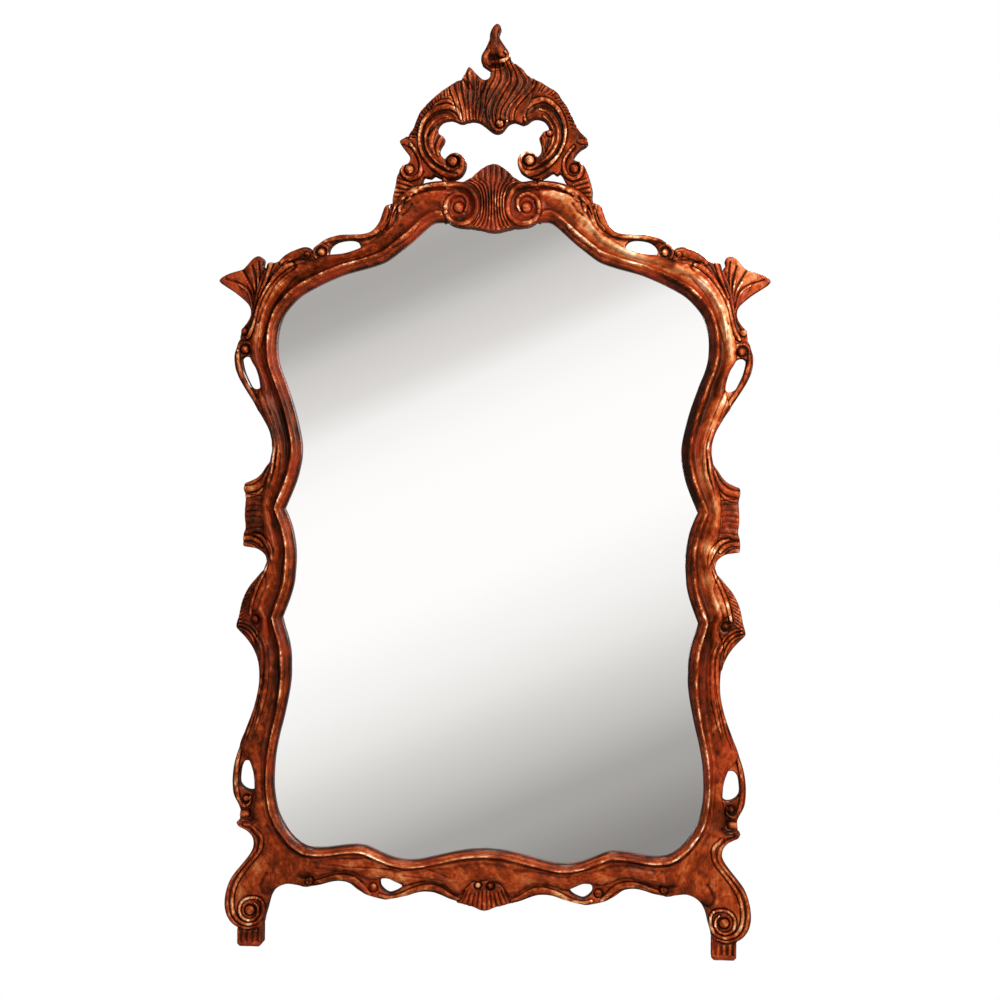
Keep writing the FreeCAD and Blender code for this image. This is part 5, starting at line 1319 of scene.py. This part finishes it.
def keystone_face(x, y, edge, height):
    """Nine flutes on a round back, which is a half sine wave across, sunk at the waist by a
    parabola. Past the guide lines they spread from the middle line."""
    _, u, inside = between(x, y, key_left_px, key_right_px)
    waist = 1 - np.abs(np.clip((y - key_waist_px) / key_flare_px, -1, 1)) ** 2
    height = height - 1.5 + 2.5 * np.sin(np.pi * u) - 2 * waist
    apex = np.clip((key_apex_px - y) / key_flare_px, 0, 1)
    broadest, narrowing, least = key_half_px
    spread = (x - key_middle_px) / np.maximum(broadest - narrowing * waist, least)
    flute = np.where(inside, u, np.clip((spread + 1) / 2, 0, 1))
    return height + (2.4 + 1.2 * waist) * reeds(flute, 9) - 2.4 - 1.0 * apex


carve("keystone_shell", 32, keystone_face, upright_finish, both=False)

# Crest scrolls: two pierced C scrolls, each a rounded band that curls into an eye below and
# carries a ruffled border on its back and small leaves inside. The strands of the crest's centre
# run out over them.
lobe_top_px = [(446, 85), (457, 80), (467, 74), (474, 76), (481, 84), (488, 84)]
lobe_bottom_px = [(459, 121), (463, 121), (468, 121), (473, 121), (477, 121), (480.6, 122)]
strands_middle_px = [(493.6, 62), (494, 74.3), (491, 82.4), (484.6, 93), (480.4, 103.6),
                     (479, 113), (481, 122.6)]
strands_right_px = [(519, 62), (534, 79), (532, 89), (525, 97.6), (517.6, 106), (513.4, 114),
                    (512.6, 122)]
crest_lines_px = (lobe_bottom_px, lobe_top_px, strands_middle_px, strands_right_px)


def ribs_over(u, v, coarse, fine):
    """Strands of uneven width: a coarse and a fine row of ribs that waver along their length."""
    waver = u + 0.014 * np.sin(8 * v + 9 * u)
    return 2.8 * reeds(waver, coarse) + 1.3 * reeds(waver + 0.006 * np.sin(17 * v), fine) - 3.0


def strands(x, y, height, lines_px):
    """Lay the strands over a face: first the lobe's, spread between its bottom and top lines, then
    those of the flame, between its middle and right lines."""
    u, v, lobe = between(x, y, *lines_px[:2])
    height = height + lobe * ribs_over(u, v, 7, 13)
    v, u, flame = between(x, y, *lines_px[2:])
    return height + (flame & ~lobe) * ribs_over(u, v, 7, 12)


ruffle_left_inner_px = [(414.6, 138), (419, 125), (425.4, 114), (433.6, 105), (442, 98.6),
                        (449.6, 96)]
ruffle_left_outer_px = [(407.6, 137.4), (414.6, 123), (420.4, 110.6), (430, 99.8), (440.6, 91),
                        (448.6, 85.6)]
carve("crest_scroll_left", 22, worked(1, 3, [
    (ribs, (ruffle_left_inner_px, ruffle_left_outer_px), 17, 2.6, 3, 40),
    (strands, crest_lines_px),
    (bead, [(432, 107.6, 1.4), (438.7, 102.8, 1.9), (446.8, 101.4, 1.9), (452, 104.6, 1.4)], 2.4,
     1.4),
    (groove, [(456, 174, 1.4), (446, 171.6, 1.6), (437.4, 167, 1.8), (430, 160, 1.9),
     (424.4, 151.4, 1.9), (421.4, 141.6, 1.9), (422, 131, 1.9), (426, 122.6, 1.9), (432, 117, 1.9),
     (440.3, 112.8, 2.2), (447.6, 113.6, 2.2), (453, 118.4, 1.8)], 3.6),
    (bead, [(459.8, 119, 1.6), (458.2, 113.8, 2.2), (453, 109, 2.7), (446, 107, 2.9),
     (438.4, 108, 2.8), (431, 112, 2.5), (424.4, 119, 2.2), (420, 128, 1.9), (418.4, 137, 1.7),
     (418.8, 146, 1.7), (421.6, 154.4, 1.8), (427, 162.4, 1.9), (433.6, 168.6, 2.2),
     (441.4, 173.4, 2.8), (450, 175, 3.3), (457.4, 172.6, 3.3), (461.6, 166.6, 3.1),
     (461.9, 160, 2.8), (458.6, 155.4, 2.3), (453, 153.6, 1.8), (448.4, 154.8, 1.2)], 5.0, 1.4,
     1.4),
    (bead, [(446.6, 117, 0.7), (440, 117.6, 1), (433.6, 121.4, 1.3), (428.4, 127.4, 1.4),
     (425.2, 134.4, 1.4), (424.2, 142, 1.4), (426, 150, 1.4), (430.6, 157.2, 1.4),
     (437, 163.2, 1.3), (444.6, 167, 1)], 1.8, 0.8),
    (bead, [(433.4, 153, 1.4), (430.4, 145.4, 2.3), (430.4, 138, 2.6), (432.6, 132.8, 2.2),
     (434.8, 129.2, 1)], 1.8, 0.8),
    (bead, [(437, 155, 1.4), (436.2, 148, 2), (438.4, 142.4, 2.2), (440.6, 138.6, 1.9),
     (441.6, 136.4, 1)], 1.8, 0.8),
    (groove, [(427, 136, 1.3), (431, 129.6, 1.9), (436.4, 125.4, 1.9)], 4),
    (groove, [(434, 146, 1), (435.6, 140.4, 1.3), (438, 135.6, 1.2)], 3),
    (knob, (451.2, 161, 4.9), 5.4, 6.0, 2.4)]), upright_finish, both=False)
ruffle_right_inner_px = [(528, 92.4), (538, 92), (548, 95.6), (557, 103), (564.6, 114),
                         (569.4, 128)]
ruffle_right_outer_px = [(532, 80), (543.6, 84.6), (554, 92), (563, 102.6), (571.4, 116),
                         (578.6, 131)]
carve("crest_scroll_right", 22, worked(1, 3, [
    (ribs, (ruffle_right_inner_px, ruffle_right_outer_px), 16, 2.6, 3, 37),
    (strands, crest_lines_px),
    (groove, [(530, 111.6, 1.8), (534, 107.6, 2.2), (542, 106.6, 2), (550, 110.4, 1.9),
     (556, 118, 1.9), (560, 128, 1.9), (560.6, 137.6, 1.9), (558, 147, 1.9), (553, 155.4, 1.9),
     (546, 162, 1.8), (538.6, 166.6, 1.6), (530, 170, 1.3)], 3.6),
    (bead, [(524.4, 121, 1.8), (521.6, 116, 2.6), (522.4, 109.8, 3), (527.4, 104.8, 3.1),
     (533.6, 101.4, 3), (541, 100, 2.8), (549.4, 102.8, 2.6), (556.4, 109.6, 2.3),
     (561.4, 118.6, 2), (563.6, 128.4, 1.8), (563.4, 138, 1.7), (560.8, 147.4, 1.7),
     (556, 156, 1.8), (549.6, 163, 2.1), (541.6, 168.8, 2.6), (533.6, 172.8, 3), (526, 173.6, 3.2),
     (519.8, 169.6, 3), (517.8, 163, 2.7), (519.4, 156.6, 2.3), (524.4, 153, 1.8),
     (530, 153, 1.2)], 5.0, 1.4, 1.4),
    (bead, [(538, 109.4, 1), (545, 112, 1.2), (551, 118.6, 1.3), (555.6, 127.4, 1.4),
     (556.6, 136.6, 1.4), (554.6, 145.4, 1.4), (550, 153.2, 1.4), (543.6, 159.4, 1.2),
     (537.6, 163, 1)], 1.7, 0.8),
    (bead, [(541, 115.6, 1), (547.4, 121.4, 1.1), (551.4, 130, 1.2), (551.6, 140, 1.2),
     (547.4, 149.4, 1.1), (542.4, 155.4, 1)], 1.7, 0.8),
    (bead, [(543, 153, 1.2), (541.8, 147, 1.8), (542.4, 141.4, 2), (541.2, 137.4, 1.4)], 1.7, 0.8),
    (groove, [(546.4, 140, 1.2), (545.4, 147, 1.2), (543.6, 154, 1)], 2.6),
    (knob, (548.2, 133, 3.2), 3.6, 2.6, 1.8),
    (knob, (528, 160, 4.9), 5.4, 6.0, 2.4)]), upright_finish, both=False)

# Crest consoles: the small brackets that stand on the top rails and carry the crest scrolls, each
# with a band that curls into an eye above and ribbed flesh below.
carve("crest_console_left", 22, worked(1, 3, [
    (bead, [(400.6, 142, 2.6), (405, 141.6, 3.6), (410, 145, 3)], 3.0, 1.0),
    (ribs, ([(412, 183.4), (404.6, 198)], [(397.4, 178), (393.4, 197.4)]), 4, 3.4, 2.2),
    (bead, [(410, 145, 1.6), (414.6, 150.6, 1.8), (418.8, 158.4, 2), (420.6, 167.4, 2.1),
     (418.4, 175, 2.2), (411.8, 178.8, 2.2), (405, 177.2, 2), (401.4, 171.6, 1.7),
     (402.6, 165.6, 1.3)], 5.0, 2.4),
    (knob, (408.4, 169.6, 4.3), 6.0, 3.8, 2)]), upright_finish, both=False)
carve("crest_console_right", 22, worked(1, 3, [
    (bead, [(583, 142, 2.6), (579, 140.6, 3.4), (574.6, 138, 2.8)], 3.0, 1.0),
    (ribs, ([(570.4, 183), (578.4, 198)], [(585.4, 177.4), (590, 197)]), 4, 3.4, 2.2),
    (bead, [(572, 146.6, 1.4), (566.6, 153, 1.7), (562.4, 160.4, 1.9), (562.2, 169, 2.1),
     (566, 176.4, 2.2), (572.6, 178.6, 2.2), (578.6, 175, 2.1), (580.2, 168, 1.9),
     (577.6, 162.6, 1.4)], 5.0, 2.4),
    (knob, (572.6, 168.4, 4.2), 6.0, 3.8, 2)]), upright_finish, both=False)

# Crest centre: a flame of long strands that rise from a small eye, lean over to the right and run
# up into the finial, and a spreading lobe on the left.
carve("crest_centre", 24, worked(1.5, 4, [
    (strands, crest_lines_px),
    (bead, [(468.8, 70, 1.6), (470.4, 75, 4), (472.6, 81, 4.6), (474, 88, 2.6)], 3.2, 0.6),
    (groove, [(460.6, 79, 1.2), (464.6, 83.6, 1.5), (468, 90, 1.1)], 4),
    (groove, [(483.6, 82, 2), (481.6, 90, 1.8), (477.6, 99, 1.4)], 4),
    (bead, [(489.4, 117, 1.2), (490.2, 124, 1.6), (494, 129.4, 1.8), (500, 130.6, 1.8),
     (505.2, 127, 1.6), (506, 121.6, 1.2)], 2.6, 1.2),
    (knob, (498.6, 124.2, 3.7), 4.4, 4, 1.8)]), upright_finish, both=False)

# Finial: a rolled head with a hollow, and a thin horn that leans to the right, carved on the
# crest's topmost block.
finial_strokes = [
    (groove, [(489, 66.4, 2), (494.6, 66.8, 2.2), (501, 66, 1.7)], 6),
    (bead, [(487.4, 51.6, 2), (484.4, 56.6, 2.8), (484.8, 61.6, 2.8), (488.4, 65, 1.8)], 3.6, 1.0),
    (groove, [(490.4, 57.6, 2.8), (494.6, 57, 3)], 9),
    (groove, [(497, 58.4, 1.5), (500.4, 58, 1.2)], 4),
    (bead, [(490, 63, 1.3), (495, 62.4, 1.8), (501, 61.8, 2), (505.4, 59.6, 1.9),
     (506.6, 56, 1.7), (504, 52.6, 1.3)], 4.0, 1.2),
    (bead, [(497.8, 38, 0.8), (502, 45, 1), (506.6, 52.4, 0.9)], 1.4, 0.4),
    (bead, [(496.4, 27, 1.6), (493.6, 33, 3), (492.4, 39.6, 3.8), (493, 46, 4)], 2.4, 0)]


def finial_face(x, y, edge, height):
    """The flame's strands run up over a bell-shaped swelling, which carries the head and horn."""
    height = strands(x, y, height + plump(edge, 1.5, 3), crest_lines_px)
    height = height + 2.2 * np.exp(-(np.hypot(x - 494, y - 51) / 8) ** 2)
    return press(x, y, height, finial_strokes)


carve("finial", 24, finial_face, upright_finish, both=False)

# Mirror plate: 4 mm float glass, silvered on the back and cut to the frame's own outline. The
# silver sends back the room in front, so it is a polished metal with almost no blur.
silvered_glass, tree, shader = new_material("silvered_glass")
haze = add(tree, "TexNoise", {
    "Vector": add(tree, "TexCoord", output="Object"), "Scale": patch_scale(220.0), "Detail": 2.0,
    "Roughness": 0.5})
feed(shader, {
    "Base Color": "#FEFDFC", "Metallic": 1.0,
    "Roughness": add(tree, "MapRange", {0: haze, 1: 0.3, 2: 0.7, 3: 0.012, 4: 0.03})})


def dress(names, material):
    """Give nodes that keep their own shape a material."""
    for name in names:
        mesh = nodes[name].data
        mesh.materials.clear()
        mesh.materials.append(material)


dress(["mirror_plate"], silvered_glass)


# Backing board: thin birch plywood that closes the rebate behind the glass, browned by age. The
# turn buttons hold it in, so that it comes out for a new glass.
def back_timber(name, axis, dark, light, grain_mm):
    """Bare timber behind the glass, in two colours, dusty with the darker one."""
    return bare_timber(name, axis, grain_mm, 0.6, [(0.36, dark), (0.62, light)],
                       (80.0, 0.48, 0.66, 0.45, dark), 0.7, (0.3, 0.0004))


dress(["backing_board"], back_timber("birch_plywood", 2, "#7C5A39", "#A98458", 7.0))

# Battens, keys and glazing blocks: bare pine, sawn and planed, gone yellow-brown. They are glued
# or screwed behind the crest, across the rails' joints and round the glass.
pine, pine_level = (back_timber(name, axis, "#8A6238", "#B98D57", 4.5)
                    for name, axis in (("bare_pine", 2), ("bare_pine_level", 0)))
dress(["crest_brace_left", "crest_brace_right", "glazing_blocks", "joint_keys"], pine)
dress(["crown_batten", "crest_batten"], pine_level)


# Hangers and turn buttons: pressed brass, dull and tarnished brown where no hand rubs it. Each
# is screwed to the frame's back and turns on its bar or screw.
def old_metal(name, dark, light, roughness):
    """A metal with patches of tarnish that are darker and rougher."""
    material, tree, shader = new_material(name)
    spot = add(tree, "TexCoord", output="Object")
    patches = add(tree, "TexNoise", {
        "Vector": spot, "Scale": patch_scale(6.0), "Detail": 4.0, "Roughness": 0.65})
    scratches = add(tree, "TexNoise", {
        "Vector": spot, "Scale": patch_scale(0.8), "Detail": 2.0, "Roughness": 0.6})
    share = add(tree, "MapRange", {0: patches, 1: 0.4, 2: 0.62})
    feed(shader, {
        "Base Color": add(tree, "Mix", {0: share, 6: light, 7: dark}, output=2,
                          data_type="RGBA"),
        "Metallic": 1.0,
        "Roughness": add(tree, "MapRange", {0: patches, 1: 0.35, 2: 0.65, 3: roughness,
                                            4: roughness + 0.2}),
        "Normal": add(tree, "Bump", {"Strength": 0.15, "Distance": 0.0002,
                                     "Height": scratches})})
    return material


brass = old_metal("tarnished_brass", "#6B4F26", "#B8924E", 0.3)
dress(["hanger_strap_left", "hanger_strap_right", "hanger_ring_left", "hanger_ring_right"], brass)
dress(["turn_button_%d" % number for number in range(1, 9)], brass)

# Screws: plain steel wood screws that hold the battens, the hangers and the buttons, their heads
# gone grey.
dress(["crest_screws", "hanger_screws", "button_screws"],
      old_metal("grey_steel", "#4A4744", "#8F8D8A", 0.34))

# Wall bumpers: discs of dark felt glued to the back, which keep the frame off the wall; felt is
# matt with a soft nap.
felt, tree, shader = new_material("dark_felt")
fibres = add(tree, "TexNoise", {
    "Vector": add(tree, "TexCoord", output="Object"), "Scale": patch_scale(0.9), "Detail": 4.0,
    "Roughness": 0.7})
feed(shader, {
    "Base Color": add(tree, "ValToRGB", {0: fibres}, stops=[(0.35, "#2B241C"), (0.65, "#4B4033")]),
    "Roughness": 0.95, "Sheen Weight": 0.3,
    "Normal": add(tree, "Bump", {"Strength": 0.5, "Distance": 0.0005, "Height": fibres})})
dress(["wall_bumpers"], felt)

# Floor: plain and pale, a little below the feet, because the mirror hangs. The camera sees it
# white, and it takes the mirror's shadow without showing in the glass.
floor_drop = 0.30
floor_size = 14.0
floor_mesh = bpy.data.meshes.new("floor")
floor_reach = floor_size / 2
floor_level = cad_low.z - floor_drop
floor_mesh.from_pydata(
    [(floor_reach * across, floor_reach * along, floor_level)
     for across, along in ((-1, -1), (1, -1), (1, 1), (-1, 1))], [], [(0, 1, 2, 3)])
floor = bpy.data.objects.new("floor", floor_mesh)
bpy.context.scene.collection.objects.link(floor)
floor.visible_glossy = False
floor_paint, tree, shader = new_material("pale_floor")
feed(shader, {"Base Color": "#F2F1EE", "Roughness": 0.9})
glow = add(tree, "Emission", {0: "#FFFFFF", 1: 1.0})
seen = add(tree, "LightPath", output="Is Camera Ray")
for ray in ("Is Glossy Ray", "Is Transmission Ray"):
    seen = add(tree, "Math", {0: seen, 1: add(tree, "LightPath", output=ray)},
               operation="MAXIMUM")
feed(tree.nodes["Material Output"], {
    "Surface": add(tree, "MixShader", {0: seen, 1: shader.outputs[0], 2: glow})})
floor_mesh.materials.append(floor_paint)

# Room: even pale light. What the glass reflects is the pale wall behind the camera, grey at the
# upper left, white through the middle and grey again at the lower right; it is a function of the
# direction alone, so it stays in the room when the view moves.
room_strength = 0.2
room_side_share = 0.45         # the room is darker beside the wall that the glass shows
side_toward = (0.82, 0.955)    # how far towards the wall a direction points where that ends
least_toward = 0.05
wall_slant = (744.8, -1707.2)  # picture rows per unit of slope, sideways and up
wall_middle = 709.3            # the picture row of a direction straight at the wall
wall_rows = (400.0, 1040.0)
wall_greys = [(405, "#ABA9A6"), (430, "#B1AFAC"), (441, "#BAB9B6"), (462, "#CDCBC9"),
              (505, "#DDDBD9"), (535, "#F4F3F2"), (575, "#FBFBFB"), (615, "#FFFFFF"),
              (720, "#FFFFFF"), (790, "#F3F3F2"), (828, "#E8E8E6"), (865, "#D6D5D3"),
              (907, "#C2C1BE"), (947, "#A8A7A4"), (970, "#A6A4A1"), (1010, "#92908D"),
              (1030, "#8A8885")]
first_row, last_row = wall_rows
world = bpy.data.worlds.new("room")
bpy.context.scene.world = world
world.use_nodes = True
tree = world.node_tree
tree.nodes.clear()
direction = add(tree, "TexCoord", output="Generated")
sideways, away_from_wall, upwards = (
    add(tree, "SeparateXYZ", {0: direction}, output=k) for k in range(3))
toward = add(tree, "Math", {0: away_from_wall, 1: -1.0}, operation="MULTIPLY")
toward = add(tree, "Math", {0: toward, 1: least_toward}, operation="MAXIMUM")
wall_row = wall_middle
for part, slant in zip((sideways, upwards), wall_slant):
    slope = add(tree, "Math", {0: part, 1: toward}, operation="DIVIDE")
    wall_row = add(tree, "Math", {0: slope, 1: slant, 2: wall_row}, operation="MULTIPLY_ADD")
wall_share = add(tree, "MapRange", {0: wall_row, 1: first_row, 2: last_row}, clamp=False)
wall_share = add(tree, "Math", {0: wall_share, 1: 1.0}, operation="PINGPONG")
wall = add(tree, "ValToRGB", {0: wall_share}, stops=[
    ((row - first_row) / (last_row - first_row), code) for row, code in wall_greys])
wall_strength = add(tree, "MapRange", {
    0: toward, 1: side_toward[0], 2: side_toward[1], 3: room_side_share, 4: 1.0})
plain, white, reflected = (
    add(tree, "Background", {"Color": colour, "Strength": strength})
    for colour, strength in (("#FFFFFF", room_strength), ("#FFFFFF", 1.0), (wall, wall_strength)))
camera_ray, through_ray, glossy_ray = (
    add(tree, "LightPath", output=ray)
    for ray in ("Is Camera Ray", "Is Transmission Ray", "Is Glossy Ray"))
seen = add(tree, "Math", {0: camera_ray, 1: through_ray}, operation="MAXIMUM")
mixed = add(tree, "MixShader", {0: seen, 1: plain, 2: white})
mixed = add(tree, "MixShader", {0: glossy_ray, 1: mixed, 2: reflected})
feed(tree.nodes.new("ShaderNodeOutputWorld"), {"Surface": mixed})

# Lamps: four soft boxes in front, the strongest high on the right, as the highlights show, and
# one behind, which lights the back without reaching the face.
lamp_aim = np.array([0.0, 0.0, -0.1])
lamps = [
    ("lamp_right", (1.1, -1.3, 0.9), 0.8, 62.0),
    ("lamp_window", (0.95, -0.95, 0.15), 0.6, 30.0),
    ("lamp_left", (-1.7, -2.4, -0.2), 0.4, 24.0),
    ("lamp_top", (-0.2, -1.4, 2.2), 0.5, 36.0),
    ("lamp_behind", (0.6, 2.8, 1.2), 0.8, 60.0)]
for name, spot, size, power in lamps:
    data = bpy.data.lights.new(name, "AREA")
    data.size, data.energy = size, power
    lamp = bpy.data.objects.new(name, data)
    aim = lamp_aim - np.array(spot)
    aim = aim / np.linalg.norm(aim)
    side = np.cross(aim, [0, 0, 1])
    side = side / np.linalg.norm(side)
    lamp.matrix_world = aimed(side, np.cross(side, aim), aim, spot)
    lamp.visible_camera = False
    bpy.context.scene.collection.objects.link(lamp)

bpy.context.scene.view_settings.view_transform = "Standard"
